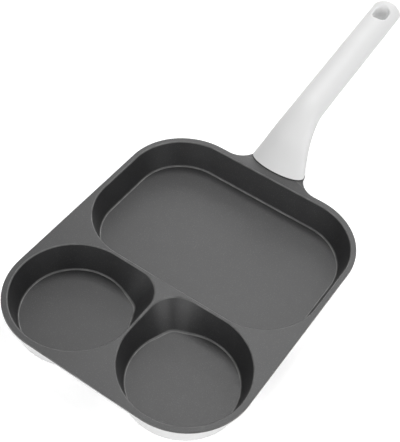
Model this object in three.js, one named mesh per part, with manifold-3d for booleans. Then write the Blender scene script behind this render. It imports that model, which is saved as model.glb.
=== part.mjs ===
// Divided breakfast pan: one die-cast pan with a large well and two egg wells,
// steel plates let into its bottom, and a bent moulded handle screwed to a tang.
// Millimetres, +Z up, +Y along the handle. The origin lies on the base plane,
// under the middle of the pan's outline.
import * as THREE from 'three';
import { mergeVertices } from 'three/addons/utils/BufferGeometryUtils.js';
import Module from 'manifold-3d';

const wasm = await Module();
wasm.setup();

// Pan outline and rims
const PAN_WIDTH = 197;
const PAN_LENGTH = 240;
const DECK_THICKNESS = 3.2;
const DECK_EDGE_ROUND = 0.8;
const SIDE_RIM = 4.2;
const BACK_RIM = 5.2;
const EGG_RIM = 4.8;
const CENTRE_DIVIDER = 1.8;
const CROSS_DIVIDER = 2.1;

// Wells and the cups around them
const WELL_DEPTH = 22;
const FLOOR_THICKNESS = 3.5;
const WALL_THICKNESS = 2.7;
const WALL_INSET = 5.2;
const FLOOR_FILLET = 1.2;
const LIP_ROUND = 0.9;
const FOOT_ROUND = 1.5;
const EGG_CORNER_FILLET = 21.8;
const EGG_FLOOR_POINT = 3.2;

// Steel plates in the cup bottoms
const PLATE_THICKNESS = 1;
const PLATE_MARGIN = 6;

// Neck, tang and seal
const NECK_REACH = 11;
const NECK_FLARE_RADIUS = 16;
const NECK_DEPTH = 14;
const NECK_TAPER = 8;
const TANG_WIDTH = 26;
const TANG_THICKNESS = 6;
const TANG_DROP = 0.6;
const TANG_SQUARENESS = 4;
const TANG_LENGTH = 24;
const SEAL_THICKNESS = 0.8;

// Handle: a steep rise from the neck, a bend, then the straight grip
const RISE_ANGLE = THREE.MathUtils.degToRad(58);
const GRIP_ANGLE = THREE.MathUtils.degToRad(9.6);
const RISE_LENGTH = 18.7;
const BEND_RADIUS = 47.7;
const GRIP_LENGTH = 130.8;
const MOUTH_WIDTH = 47.7;
const GRIP_WIDTH = 25.3;
const WIDTH_FLARE_LENGTH = 53.3;
const FLARE_POWER = 1.45;
const MOUTH_CROWN = 8;
const GRIP_CROWN = 8.8;
const MOUTH_BELLY = 12;
const GRIP_BELLY = 8.2;
const DEPTH_FLARE_LENGTH = 73;
const SECTION_SQUARENESS = 2;
const TIP_ROUND = 6.4;
const TIP_THINNING = 0.6;
const HOLE_WIDTH = 12.2;
const HOLE_LENGTH = 15.4;
const HOLE_CORNER = 4.6;
const HOLE_TO_TIP = 10.3;

// Screw, washers and the seat for them in the handle
const SCREW_HEIGHT = 16.5;
const SCREW_DIAMETER = 5;
const SCREW_HEAD_DIAMETER = 9;
const SCREW_HEAD_HEIGHT = 2;
const SCREW_DOME_WIDTH = 7.2;
const SCREW_TIP_ROOM = 0.6;
const FLAT_WASHER_DIAMETER = 10;
const FLAT_WASHER_THICKNESS = 0.7;
const LOCK_WASHER_DIAMETER = 8.6;
const LOCK_WASHER_THICKNESS = 1;
const LOCK_WASHER_SPLIT = THREE.MathUtils.degToRad(12);
const SCREW_SEAT_THICKNESS = 1.8;

// Clearances between pieces
const SEAT_GAP = 0.3;
const SOCKET_CLEARANCE = 0.35;
const SCREW_CLEARANCE = 0.35;
const COUNTERBORE_CLEARANCE = 0.5;

// Facets
const CORNER_SEGMENTS = 10;
const EGG_CORNER_STEP = THREE.MathUtils.degToRad(5);
const EGG_ROUND_STEP = THREE.MathUtils.degToRad(9);
const SECTION_POINTS = 32;
const ROUND_SEGMENTS = 28;
const NECK_STEPS = 5;
const RISE_STEPS = 4;
const BEND_STEPS = 7;
const GRIP_STEPS = 6;
const DECK_SEGMENTS = 6;
const EDGE_SEGMENTS = 2;
const HOLE_SEGMENTS = 5;
const TIP_SHARES = [0, 0.2, 0.4, 0.6, 0.8, 0.93, 0.99];
const MERGE_DISTANCE = 1e-4;
const ANGLE_MARGIN = 1e-6;
const CUT_OVERRUN = 1;

// Sizes worked out from the driving dimensions
const PAN_HEIGHT = WELL_DEPTH + FLOOR_THICKNESS;
const EGG_RADIUS = (PAN_WIDTH - 2 * EGG_RIM - CENTRE_DIVIDER) / 4;
const EGG_X = EGG_RADIUS + CENTRE_DIVIDER / 2;
const EGG_Y = -PAN_LENGTH / 2 + EGG_RIM + EGG_RADIUS;
const PAN_CORNER_RADIUS = EGG_RADIUS + EGG_RIM;
const MAIN_HALF_WIDTH = PAN_WIDTH / 2 - SIDE_RIM;
const MAIN_NEAR = EGG_Y + EGG_RADIUS + CROSS_DIVIDER;
const MAIN_FAR = PAN_LENGTH / 2 - BACK_RIM;
const MAIN_CORNER_RADIUS = PAN_CORNER_RADIUS - (SIDE_RIM + BACK_RIM) / 2;
const WALL_OFFSET = WALL_THICKNESS / Math.cos(Math.atan2(WALL_INSET, WELL_DEPTH));
const HANDLE_Y = PAN_LENGTH / 2 + NECK_REACH;
const MOUTH_Z = PAN_HEIGHT + SEAL_THICKNESS + 2 * SEAT_GAP;
const BEND_LENGTH = BEND_RADIUS * (RISE_ANGLE - GRIP_ANGLE);
const HANDLE_LENGTH = RISE_LENGTH + BEND_LENGTH + GRIP_LENGTH;
const SCREW_BORE = SCREW_DIAMETER + 2 * SCREW_CLEARANCE;

// Turns a closed three.js geometry into a solid that can be joined and cut.
function toSolid(geometry) {
  const plain = geometry.clone();
  plain.deleteAttribute('normal');
  plain.deleteAttribute('uv');
  const merged = mergeVertices(plain, MERGE_DISTANCE);
  return new wasm.Manifold(new wasm.Mesh({
    numProp: 3,
    vertProperties: Float32Array.from(merged.attributes.position.array),
    triVerts: Uint32Array.from(merged.index.array),
  }));
}

// Turns a joined or cut solid back into a three.js geometry.
function toGeometry(solid) {
  const mesh = solid.getMesh();
  const geometry = new THREE.BufferGeometry();
  geometry.setAttribute('position', new THREE.BufferAttribute(mesh.vertProperties, 3));
  geometry.setIndex(new THREE.BufferAttribute(mesh.triVerts, 1));
  geometry.computeVertexNormals();
  return geometry;
}

// Lofts a closed skin through rings of equal point count, from the first ring to the last.
// Seen from the last ring's side, each ring runs counter-clockwise.
function loft(rings) {
  const count = rings[0].length;
  const points = rings.flat();
  const middleOf = (ring) => ring
    .reduce((sum, point) => sum.add(point), new THREE.Vector3())
    .divideScalar(count);
  points.push(middleOf(rings[0]), middleOf(rings.at(-1)));
  const firstMiddle = points.length - 2;
  const lastMiddle = points.length - 1;
  const lastStart = (rings.length - 1) * count;
  const faces = [];
  for (let i = 0; i < count; i += 1) {
    const next = (i + 1) % count;
    for (let r = 0; r < rings.length - 1; r += 1) {
      const low = r * count;
      const high = low + count;
      faces.push(low + i, low + next, high + next);
      faces.push(low + i, high + next, high + i);
    }
    faces.push(firstMiddle, next, i);
    faces.push(lastMiddle, lastStart + i, lastStart + next);
  }
  const geometry = new THREE.BufferGeometry().setFromPoints(points);
  geometry.setIndex(faces);
  return geometry;
}

// Lays a flat outline at a height, as one ring of a loft.
function ringAt(outline, z) {
  return outline.map((point) => new THREE.Vector3(point.x, point.y, z));
}

// Extrudes a flat outline upwards from a height.
function slab(outline, z, height) {
  const geometry = new THREE.ExtrudeGeometry(new THREE.Shape(outline), {
    depth: height,
    bevelEnabled: false,
  });
  geometry.translate(0, 0, z);
  return geometry;
}

// The share of the wall's lean at a height: 0 at the deck and 1 at the well's floor.
function leanAt(z) {
  return (PAN_HEIGHT - z) / WELL_DEPTH;
}

// The main well's outline: a rectangle with round corners.
function mainOutline(lean, offset) {
  const inset = lean * WALL_INSET - offset;
  const radius = MAIN_CORNER_RADIUS - inset;
  const right = MAIN_HALF_WIDTH - inset - radius;
  const near = MAIN_NEAR + inset + radius;
  const far = MAIN_FAR - inset - radius;
  const corners = [[right, far], [-right, far], [-right, near], [right, near]];
  const outline = [];
  corners.forEach(([x, y], quarter) => {
    for (let i = 0; i <= CORNER_SEGMENTS; i += 1) {
      const angle = (quarter + i / CORNER_SEGMENTS) * Math.PI / 2;
      outline.push(new THREE.Vector2(x + radius * Math.cos(angle), y + radius * Math.sin(angle)));
    }
  });
  return outline;
}

// Radius of an egg well at the deck, by the angle from the diagonal of its inner corner:
// a circle with two tangent sides that meet in a round corner.
function eggDeckRadius(angle) {
  const quarter = Math.PI / 4;
  if (angle >= quarter) {
    return EGG_RADIUS;
  }
  const side = EGG_RADIUS - EGG_CORNER_FILLET;
  if (quarter - angle <= Math.atan2(side, EGG_RADIUS)) {
    return EGG_RADIUS / Math.cos(quarter - angle);
  }
  const filletReach = side * Math.SQRT2;
  const across = filletReach * Math.sin(angle);
  return filletReach * Math.cos(angle) + Math.sqrt(EGG_CORNER_FILLET ** 2 - across ** 2);
}

// Radius of an egg well at its floor: a circle drawn out to a blunt point at the inner corner.
function eggFloorRadius(angle) {
  const radius = EGG_RADIUS - WALL_INSET;
  const tangent = Math.acos(radius / (radius + EGG_FLOOR_POINT));
  return angle >= tangent ? radius : radius / Math.cos(tangent - angle);
}

// An egg well's outline on one side of the pan (1 right, -1 left).
function eggOutline(side, lean, offset) {
  const diagonal = Math.PI / 2 + side * Math.PI / 4;
  const outline = [];
  let turn = -Math.PI / 4;
  while (turn < Math.PI * 7 / 4 - ANGLE_MARGIN) {
    const fromCorner = Math.abs(turn > Math.PI ? turn - 2 * Math.PI : turn);
    const deck = eggDeckRadius(fromCorner);
    const radius = deck + (eggFloorRadius(fromCorner) - deck) * lean + offset;
    const angle = diagonal + turn;
    outline.push(new THREE.Vector2(
      side * EGG_X + radius * Math.cos(angle),
      EGG_Y + radius * Math.sin(angle),
    ));
    turn += turn < Math.PI / 4 - ANGLE_MARGIN ? EGG_CORNER_STEP : EGG_ROUND_STEP;
  }
  return outline;
}

// The three wells by name, each with the outline for a lean and an offset.
const WELLS = {
  main: mainOutline,
  left: (lean, offset) => eggOutline(-1, lean, offset),
  right: (lean, offset) => eggOutline(1, lean, offset),
};

// The hollow of a well: floor fillet, leaning wall, rounded lip, open at the top.
function wellHollow(outlineOf) {
  const floor = PAN_HEIGHT - WELL_DEPTH;
  const rings = [];
  const addRing = (z, offset) => rings.push(ringAt(outlineOf(leanAt(z), offset), z));
  for (const turn of [0, Math.PI / 6, Math.PI / 3, Math.PI / 2]) {
    addRing(floor + FLOOR_FILLET * (1 - Math.cos(turn)), -FLOOR_FILLET * (1 - Math.sin(turn)));
  }
  for (const turn of [0, Math.PI / 4, Math.PI / 2]) {
    addRing(PAN_HEIGHT - LIP_ROUND * (1 - Math.sin(turn)), LIP_ROUND * (1 - Math.cos(turn)));
  }
  rings.push(ringAt(outlineOf(0, LIP_ROUND), PAN_HEIGHT + CUT_OVERRUN));
  return loft(rings);
}

// The outside of a cup: round foot edge and a wall that leans with the well's.
function cupOutside(outlineOf) {
  const rings = [];
  for (const turn of [0, Math.PI / 4, Math.PI / 2]) {
    const z = FOOT_ROUND * (1 - Math.cos(turn));
    const offset = WALL_OFFSET - FOOT_ROUND * (1 - Math.sin(turn));
    rings.push(ringAt(outlineOf(leanAt(z), offset), z));
  }
  const top = PAN_HEIGHT - DECK_THICKNESS / 2;
  rings.push(ringAt(outlineOf(leanAt(top), WALL_OFFSET), top));
  return loft(rings);
}

// The steel plate in a cup's bottom, or with a gap the recess for it.
function plateOutline(outlineOf, gap) {
  return outlineOf(leanAt(0), WALL_OFFSET - PLATE_MARGIN + gap);
}

// The handle's half width along its spine, measured from deck level.
function handleHalfWidth(along) {
  const flare = Math.max(0, 1 - along / WIDTH_FLARE_LENGTH) ** FLARE_POWER;
  return (GRIP_WIDTH + (MOUTH_WIDTH - GRIP_WIDTH) * flare) / 2;
}

// The handle's height above its spine (crown) and depth below it (belly).
function handleDepths(along) {
  const flare = Math.max(0, 1 - along / DEPTH_FLARE_LENGTH) ** FLARE_POWER;
  return {
    crown: GRIP_CROWN + (MOUTH_CROWN - GRIP_CROWN) * flare,
    belly: GRIP_BELLY + (MOUTH_BELLY - GRIP_BELLY) * flare,
  };
}

// A point on the straight line of the rise, which the tang and the screw follow.
function riseAt(along) {
  return {
    y: HANDLE_Y + along * Math.cos(RISE_ANGLE),
    z: PAN_HEIGHT + along * Math.sin(RISE_ANGLE),
    slope: RISE_ANGLE,
  };
}

// A point of the handle's spine and its slope there.
function spineAt(along) {
  let { y, z } = riseAt(Math.min(along, RISE_LENGTH));
  const bend = THREE.MathUtils.clamp(along - RISE_LENGTH, 0, BEND_LENGTH);
  const slope = RISE_ANGLE - bend / BEND_RADIUS;
  y += BEND_RADIUS * (Math.sin(RISE_ANGLE) - Math.sin(slope));
  z += BEND_RADIUS * (Math.cos(slope) - Math.cos(RISE_ANGLE));
  const grip = Math.max(0, along - RISE_LENGTH - BEND_LENGTH);
  y += grip * Math.cos(GRIP_ANGLE);
  z += grip * Math.sin(GRIP_ANGLE);
  return { y, z, slope };
}

// A point of a round-cornered oval, by its angle; squareness 2 is an ellipse.
function ovalPoint(angle, squareness) {
  const bend = (value) => Math.sign(value) * Math.abs(value) ** (2 / squareness);
  return new THREE.Vector2(bend(Math.cos(angle)), bend(Math.sin(angle)));
}

// One oval ring square to a line, at a point of that line.
function ovalRing({ y, z, slope }, halfWidth, crown, belly, squareness) {
  const ring = [];
  for (let i = 0; i < SECTION_POINTS; i += 1) {
    const unit = ovalPoint(-2 * Math.PI * i / SECTION_POINTS, squareness);
    const up = unit.y * (unit.y > 0 ? crown : belly);
    ring.push(new THREE.Vector3(
      unit.x * halfWidth,
      y - up * Math.sin(slope),
      z + up * Math.cos(slope),
    ));
  }
  return ring;
}

// The bar of the tang along the rise, grown by a clearance for the socket.
function tangBar(start, end, clearance) {
  const halfWidth = TANG_WIDTH / 2 + clearance;
  const crown = TANG_THICKNESS / 2 - TANG_DROP + clearance;
  const belly = TANG_THICKNESS / 2 + TANG_DROP + clearance;
  return loft([start, end].map((along) => (
    ovalRing(riseAt(along), halfWidth, crown, belly, TANG_SQUARENESS)
  )));
}

// The handle's outside: rise, bend, grip and rounded tip.
function handleOutside() {
  const stations = [-MOUTH_BELLY, -MOUTH_BELLY / 2];
  const bendStart = RISE_LENGTH;
  const bendEnd = RISE_LENGTH + BEND_LENGTH;
  const tipStart = HANDLE_LENGTH - TIP_ROUND;
  const spread = (from, to, steps) => {
    for (let i = 0; i < steps; i += 1) {
      stations.push(from + (to - from) * i / steps);
    }
  };
  spread(0, bendStart, RISE_STEPS);
  spread(bendStart, bendEnd, BEND_STEPS);
  spread(bendEnd, tipStart, GRIP_STEPS);
  const rings = stations.map((along) => {
    const { crown, belly } = handleDepths(along);
    return ovalRing(spineAt(along), handleHalfWidth(along), crown, belly, SECTION_SQUARENESS);
  });
  for (const share of TIP_SHARES) {
    const along = tipStart + share * TIP_ROUND;
    const { crown, belly } = handleDepths(along);
    const width = Math.sqrt(1 - share ** 2);
    const depth = 1 - TIP_THINNING * (1 - width);
    const halfWidth = handleHalfWidth(along) * width;
    rings.push(ovalRing(spineAt(along), halfWidth, crown * depth, belly * depth, SECTION_SQUARENESS));
  }
  return loft(rings);
}

// The hanging hole: straight towards the pan with round corners, and a half round towards the tip.
function hangingHole() {
  const half = HOLE_WIDTH / 2;
  const far = HOLE_LENGTH / 2;
  const corner = half - HOLE_CORNER;
  const outline = new THREE.Shape();
  outline.moveTo(-corner, -far);
  outline.lineTo(corner, -far);
  outline.absarc(corner, HOLE_CORNER - far, HOLE_CORNER, -Math.PI / 2, 0, false);
  outline.absarc(0, far - half, half, 0, Math.PI, false);
  outline.absarc(-corner, HOLE_CORNER - far, HOLE_CORNER, Math.PI, Math.PI * 3 / 2, false);
  const through = GRIP_CROWN + GRIP_BELLY + 2 * CUT_OVERRUN;
  const options = { depth: through, bevelEnabled: false, curveSegments: HOLE_SEGMENTS };
  const cutter = new THREE.ExtrudeGeometry(outline, options);
  cutter.translate(0, 0, -GRIP_BELLY - CUT_OVERRUN);
  const { y, z, slope } = spineAt(HANDLE_LENGTH - HOLE_TO_TIP - far);
  return cutter.applyMatrix4(new THREE.Matrix4().makeRotationX(slope).setPosition(0, y, z));
}

// A round bar along local Z between two heights.
function roundBar(diameter, from, to) {
  const bar = new THREE.CylinderGeometry(diameter / 2, diameter / 2, to - from, ROUND_SEGMENTS);
  return bar.rotateX(Math.PI / 2).translate(0, 0, (from + to) / 2);
}

// A flat ring along local Z, closed or split.
function flatRing(outer, inner, from, thickness, split) {
  const ring = new THREE.Shape();
  ring.absarc(0, 0, outer / 2, split, 2 * Math.PI - split, false);
  if (split > 0) {
    ring.absarc(0, 0, inner / 2, 2 * Math.PI - split, split, true);
  } else {
    ring.holes.push(new THREE.Path().absarc(0, 0, inner / 2, 0, 2 * Math.PI, true));
  }
  const options = { depth: thickness, bevelEnabled: false, curveSegments: ROUND_SEGMENTS / 2 };
  return new THREE.ExtrudeGeometry(ring, options).rotateZ(Math.PI / 2).translate(0, 0, from);
}

// The deck with the neck's platform, as one flat plate with rounded edges.
function deckPlate() {
  const right = PAN_WIDTH / 2;
  const back = PAN_LENGTH / 2;
  const radius = PAN_CORNER_RADIUS;
  const turn = Math.acos(1 - NECK_REACH / NECK_FLARE_RADIUS);
  const neckHalf = handleHalfWidth(0);
  const flareX = neckHalf + NECK_FLARE_RADIUS * Math.sin(turn);
  const flareY = back + NECK_FLARE_RADIUS;
  const down = -Math.PI / 2;
  const neckBack = handleDepths(0).belly / Math.sin(RISE_ANGLE);
  const outline = new THREE.Shape();
  outline.moveTo(radius - right, -back);
  outline.absarc(right - radius, radius - back, radius, down, 0, false);
  outline.absarc(right - radius, back - radius, radius, 0, Math.PI / 2, false);
  outline.absarc(flareX, flareY, NECK_FLARE_RADIUS, down, down - turn, true);
  outline.absellipse(0, HANDLE_Y, neckHalf, neckBack, 0, Math.PI, false, 0);
  outline.absarc(-flareX, flareY, NECK_FLARE_RADIUS, down + turn, down, true);
  outline.absarc(radius - right, back - radius, radius, Math.PI / 2, Math.PI, false);
  outline.absarc(radius - right, radius - back, radius, Math.PI, Math.PI * 3 / 2, false);
  const plate = new THREE.ExtrudeGeometry(outline, {
    depth: DECK_THICKNESS - 2 * DECK_EDGE_ROUND,
    bevelThickness: DECK_EDGE_ROUND,
    bevelSize: DECK_EDGE_ROUND,
    bevelOffset: -DECK_EDGE_ROUND,
    bevelSegments: EDGE_SEGMENTS,
    curveSegments: DECK_SEGMENTS,
  });
  return plate.translate(0, 0, PAN_HEIGHT - DECK_THICKNESS + DECK_EDGE_ROUND);
}

// The neck below its platform: a chin that draws back to the main cup's wall.
function neckChin() {
  const wallY = MAIN_FAR + WALL_OFFSET - WALL_INSET * NECK_DEPTH / WELL_DEPTH;
  const rootY = MAIN_FAR - WALL_INSET / 2;
  const back = handleDepths(0).belly / Math.sin(RISE_ANGLE) - DECK_EDGE_ROUND;
  const top = PAN_HEIGHT - DECK_THICKNESS / 2;
  const rings = [];
  for (let i = 0; i <= NECK_STEPS; i += 1) {
    const turn = Math.PI / 2 * i / NECK_STEPS;
    const out = Math.sin(turn);
    const middleY = wallY + (HANDLE_Y - wallY) * out;
    const halfWidth = handleHalfWidth(0) - DECK_EDGE_ROUND - NECK_TAPER * (1 - out);
    const reach = DECK_EDGE_ROUND + (back - DECK_EDGE_ROUND) * out;
    const outline = [];
    for (let j = 0; j <= SECTION_POINTS / 2; j += 1) {
      const angle = 2 * Math.PI * j / SECTION_POINTS;
      outline.push(new THREE.Vector2(halfWidth * Math.cos(angle), middleY + reach * Math.sin(angle)));
    }
    outline.push(new THREE.Vector2(-halfWidth, rootY), new THREE.Vector2(halfWidth, rootY));
    rings.push(ringAt(outline, top - (NECK_DEPTH - DECK_THICKNESS / 2) * Math.cos(turn)));
  }
  return loft(rings);
}

// Heights along the screw's axis, from the handle's spine towards the underside
const TANG_BELLY = TANG_THICKNESS / 2 + TANG_DROP;
const TANG_CROWN = TANG_THICKNESS / 2 - TANG_DROP;
const SEAT_FACE = -(TANG_BELLY + SOCKET_CLEARANCE + SCREW_SEAT_THICKNESS);
const FLAT_WASHER_FACE = SEAT_FACE - SEAT_GAP - FLAT_WASHER_THICKNESS;
const LOCK_WASHER_FACE = FLAT_WASHER_FACE - SEAT_GAP - LOCK_WASHER_THICKNESS;
const SCREW_HEAD_SEAT = LOCK_WASHER_FACE - SEAT_GAP;
const SCREW_HEAD_FACE = SCREW_HEAD_SEAT - SCREW_HEAD_HEIGHT;
const SCREW_TIP = TANG_CROWN - SCREW_TIP_ROOM;

// The screw and its washers stand in a frame turned square to the rise.
const screwFoot = riseAt(SCREW_HEIGHT);
const screwAssembly = new THREE.Group();
screwAssembly.position.set(0, screwFoot.y, screwFoot.z);
screwAssembly.rotation.x = RISE_ANGLE;
screwAssembly.updateMatrix();

function onScrewAxis(geometry) {
  return toSolid(geometry.applyMatrix4(screwAssembly.matrix));
}

function panBody() {
  let body = toSolid(deckPlate()).add(toSolid(neckChin()));
  for (const outlineOf of Object.values(WELLS)) {
    body = body.add(toSolid(cupOutside(outlineOf)));
  }
  for (const outlineOf of Object.values(WELLS)) {
    const recess = plateOutline(outlineOf, SEAT_GAP);
    body = body.subtract(toSolid(wellHollow(outlineOf)));
    body = body.subtract(toSolid(slab(recess, -CUT_OVERRUN, CUT_OVERRUN + PLATE_THICKNESS + SEAT_GAP)));
  }
  body = body.add(toSolid(tangBar(-DECK_THICKNESS, TANG_LENGTH, 0)));
  const tapped = roundBar(SCREW_BORE, -TANG_BELLY - CUT_OVERRUN, TANG_CROWN + CUT_OVERRUN);
  return toGeometry(body.subtract(onScrewAxis(tapped)));
}

function handleBody() {
  const below = new THREE.BoxGeometry(2 * MOUTH_WIDTH, 4 * MOUTH_WIDTH, 2 * MOUTH_BELLY);
  below.translate(0, HANDLE_Y, MOUTH_Z - MOUTH_BELLY);
  const underside = -MOUTH_BELLY - CUT_OVERRUN;
  const counterbore = roundBar(FLAT_WASHER_DIAMETER + 2 * COUNTERBORE_CLEARANCE, underside, SEAT_FACE);
  const clearanceHole = roundBar(SCREW_BORE, underside, -TANG_BELLY);
  const socket = tangBar(-MOUTH_BELLY, TANG_LENGTH + SOCKET_CLEARANCE, SOCKET_CLEARANCE);
  const body = toSolid(handleOutside())
    .subtract(toSolid(below))
    .subtract(toSolid(socket))
    .subtract(onScrewAxis(counterbore))
    .subtract(onScrewAxis(clearanceHole))
    .subtract(toSolid(hangingHole()));
  return toGeometry(body);
}

// The seal follows the handle's mouth and lets the tang through.
function neckSeal() {
  const bottom = PAN_HEIGHT + SEAT_GAP;
  const sheet = new THREE.BoxGeometry(2 * MOUTH_WIDTH, 4 * MOUTH_WIDTH, SEAL_THICKNESS);
  sheet.translate(0, HANDLE_Y, bottom + SEAL_THICKNESS / 2);
  const socket = tangBar(-MOUTH_BELLY, TANG_LENGTH, SOCKET_CLEARANCE);
  return toGeometry(toSolid(handleOutside()).intersect(toSolid(sheet)).subtract(toSolid(socket)));
}

// The screw: a domed head and a plain shank, turned on its axis.
function screwBody() {
  const head = SCREW_HEAD_DIAMETER / 2;
  const shank = SCREW_DIAMETER / 2;
  const edge = SCREW_HEAD_FACE + SCREW_HEAD_HEIGHT / 2;
  const dome = new THREE.QuadraticBezierCurve(
    new THREE.Vector2(0, SCREW_HEAD_FACE),
    new THREE.Vector2(SCREW_DOME_WIDTH / 2, SCREW_HEAD_FACE),
    new THREE.Vector2(head, edge),
  );
  const profile = [
    ...dome.getPoints(4),
    new THREE.Vector2(head, SCREW_HEAD_SEAT),
    new THREE.Vector2(shank, SCREW_HEAD_SEAT),
    new THREE.Vector2(shank, SCREW_TIP - shank / 3),
    new THREE.Vector2(shank * 2 / 3, SCREW_TIP),
    new THREE.Vector2(0, SCREW_TIP),
  ];
  return new THREE.LatheGeometry(profile, ROUND_SEGMENTS).rotateX(Math.PI / 2);
}

// Finishes
const FINISH = {
  coated: { color: 0x68686a, roughness: 0.55, metalness: 0.2 },
  steel: { color: 0xb9bbbd, roughness: 0.35, metalness: 1 },
  seal: { color: 0x1c1c1c, roughness: 0.7, metalness: 0 },
  moulding: { color: 0xe8e8e8, roughness: 0.4, metalness: 0 },
};

function addPiece(group, name, geometry, finish) {
  const mesh = new THREE.Mesh(geometry, new THREE.MeshStandardMaterial(finish));
  mesh.name = name;
  group.add(mesh);
}

const pan = new THREE.Group();
addPiece(pan, 'pan_body', panBody(), FINISH.coated);
for (const [name, outlineOf] of Object.entries(WELLS)) {
  const plate = slab(plateOutline(outlineOf, 0), 0, PLATE_THICKNESS);
  addPiece(pan, `base_plate_${name}`, plate, FINISH.steel);
}
addPiece(pan, 'neck_seal', neckSeal(), FINISH.seal);
addPiece(pan, 'handle', handleBody(), FINISH.moulding);

const flatWasher = flatRing(FLAT_WASHER_DIAMETER, SCREW_BORE, FLAT_WASHER_FACE, FLAT_WASHER_THICKNESS, 0);
const lockWasher = flatRing(
  LOCK_WASHER_DIAMETER,
  SCREW_BORE,
  LOCK_WASHER_FACE,
  LOCK_WASHER_THICKNESS,
  LOCK_WASHER_SPLIT,
);
addPiece(screwAssembly, 'flat_washer', flatWasher, FINISH.steel);
addPiece(screwAssembly, 'lock_washer', lockWasher, FINISH.steel);
addPiece(screwAssembly, 'handle_screw', screwBody(), FINISH.steel);
pan.add(screwAssembly);

export default pan;
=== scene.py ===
"""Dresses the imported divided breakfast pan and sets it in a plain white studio.

Casting, plates, seal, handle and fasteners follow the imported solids' sizes and add the
fillets, coats and grain that show. Lengths are metres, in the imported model's frame.
"""

import logging
import math
from collections.abc import Iterable, Sequence
from dataclasses import dataclass, field
from enum import Enum, IntEnum
from typing import ClassVar

import bmesh
import bpy
import numpy as np
from mathutils import Matrix, Vector


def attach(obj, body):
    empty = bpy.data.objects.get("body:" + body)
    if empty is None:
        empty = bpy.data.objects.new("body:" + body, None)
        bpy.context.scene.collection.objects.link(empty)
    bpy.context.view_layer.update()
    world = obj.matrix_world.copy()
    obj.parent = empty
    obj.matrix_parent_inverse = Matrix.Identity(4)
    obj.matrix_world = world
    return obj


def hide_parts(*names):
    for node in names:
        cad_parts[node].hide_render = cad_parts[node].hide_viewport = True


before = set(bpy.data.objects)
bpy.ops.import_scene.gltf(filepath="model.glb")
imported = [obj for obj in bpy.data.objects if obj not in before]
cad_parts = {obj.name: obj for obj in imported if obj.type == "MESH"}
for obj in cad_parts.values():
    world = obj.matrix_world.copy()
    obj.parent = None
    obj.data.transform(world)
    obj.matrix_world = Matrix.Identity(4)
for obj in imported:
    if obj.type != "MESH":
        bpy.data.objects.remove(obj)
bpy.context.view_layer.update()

MM = 0.001
QUARTER = math.pi / 2
BODY = "root"
WEAR_AND_HIGHLIGHT_MARK = "wear_and_highlight_mark"
# An outer edge gets this share of the edge mark, rubbing with a painted highlight. A hollow edge gets a
# painted highlight, less the more it tilts, by this power.
OUTER_WEAR_AND_HIGHLIGHT = 0.38
HOLLOW_HIGHLIGHT_POWER = 4
# Two faces whose middles are nearer than this count as this far apart.
LEAST_STEP = 0.01 * MM
# Most of a noise texture's values lie between these two.
NOISE_LOW, NOISE_HIGH = 0.3, 0.7
LOG = logging.getLogger("breakfast_pan")

Colour = tuple[float, float, float, float]
Links = dict[int | str, object]
Radius = float | np.ndarray
Piece = bpy.types.Object


def linear(code: str) -> Colour:
    """Turns an sRGB hex colour into the linear colour that sockets take.

    Args:
        code: The colour as "#rrggbb".

    Returns:
        Red, green, blue and an alpha of 1.
    """
    channels = [int(code[i:i + 2], 16) / 255 for i in (1, 3, 5)]
    red, green, blue = [c / 12.92 if c <= 0.04045 else ((c + 0.055) / 1.055) ** 2.4 for c in channels]
    return red, green, blue, 1.0


def add_node(
    tree: bpy.types.NodeTree, kind: str, links: Links | None = None, **settings: object
) -> bpy.types.Node:
    """Adds a node with its settings, values and links.

    Args:
        tree: The tree that gets the node.
        kind: Blender's name for the node's type.
        links: For an input's name or number, a value, a socket, or a node whose first output feeds it.
        **settings: The node's own properties.

    Returns:
        The new node.
    """
    node = tree.nodes.new(kind)
    for name, value in settings.items():
        setattr(node, name, value)
    for name, value in (links or {}).items():
        if isinstance(value, bpy.types.Node):
            value = value.outputs[0]
        if isinstance(value, bpy.types.NodeSocket):
            tree.links.new(value, node.inputs[name])
        else:
            node.inputs[name].default_value = value
    return node


def smooth_steps(count: int, turn: float = QUARTER) -> np.ndarray:
    """Gives evenly spaced angles from 0 to a turn, both ends included."""
    return np.linspace(0.0, turn, count + 1)


def rounding(radius: float, count: int, turn: float = QUARTER) -> list[tuple[float, float]]:
    """Steps round an edge, from the first of its faces to the second.

    Args:
        radius: The edge's radius.
        count: The number of steps.
        turn: How far round the edge they go.

    Returns:
        For each step, its distance from the first face and from the second.
    """
    return [(radius * (1 - math.cos(a)), radius * (1 - math.sin(a))) for a in smooth_steps(count, turn)]


def arc(middle: tuple[float, float], radii: tuple[Radius, Radius], turn: np.ndarray) -> np.ndarray:
    """Draws an arc of an ellipse.

    Args:
        middle: The ellipse's middle.
        radii: Its radius along each axis, or one for each point.
        turn: The angles of the points.

    Returns:
        The points.
    """
    return np.column_stack([middle[0] + radii[0] * np.cos(turn), middle[1] + radii[1] * np.sin(turn)])


def ring_at(outline: np.ndarray, z: float) -> np.ndarray:
    """Lays a flat outline at a height, as one ring of a loft."""
    return np.column_stack([outline, np.full(len(outline), z)])


def mesh_object(name: str, points: Iterable[Sequence[float]], faces: Iterable[Sequence[int]]) -> Piece:
    """Makes an object at the origin from points and faces.

    Args:
        name: The object's name.
        points: The mesh's points.
        faces: The point numbers round each face.

    Returns:
        The object, in the scene.
    """
    mesh = bpy.data.meshes.new(name)
    mesh.from_pydata([tuple(map(float, point)) for point in points], [], [list(face) for face in faces])
    made = bpy.data.objects.new(name, mesh)
    bpy.context.scene.collection.objects.link(made)
    return made


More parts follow.
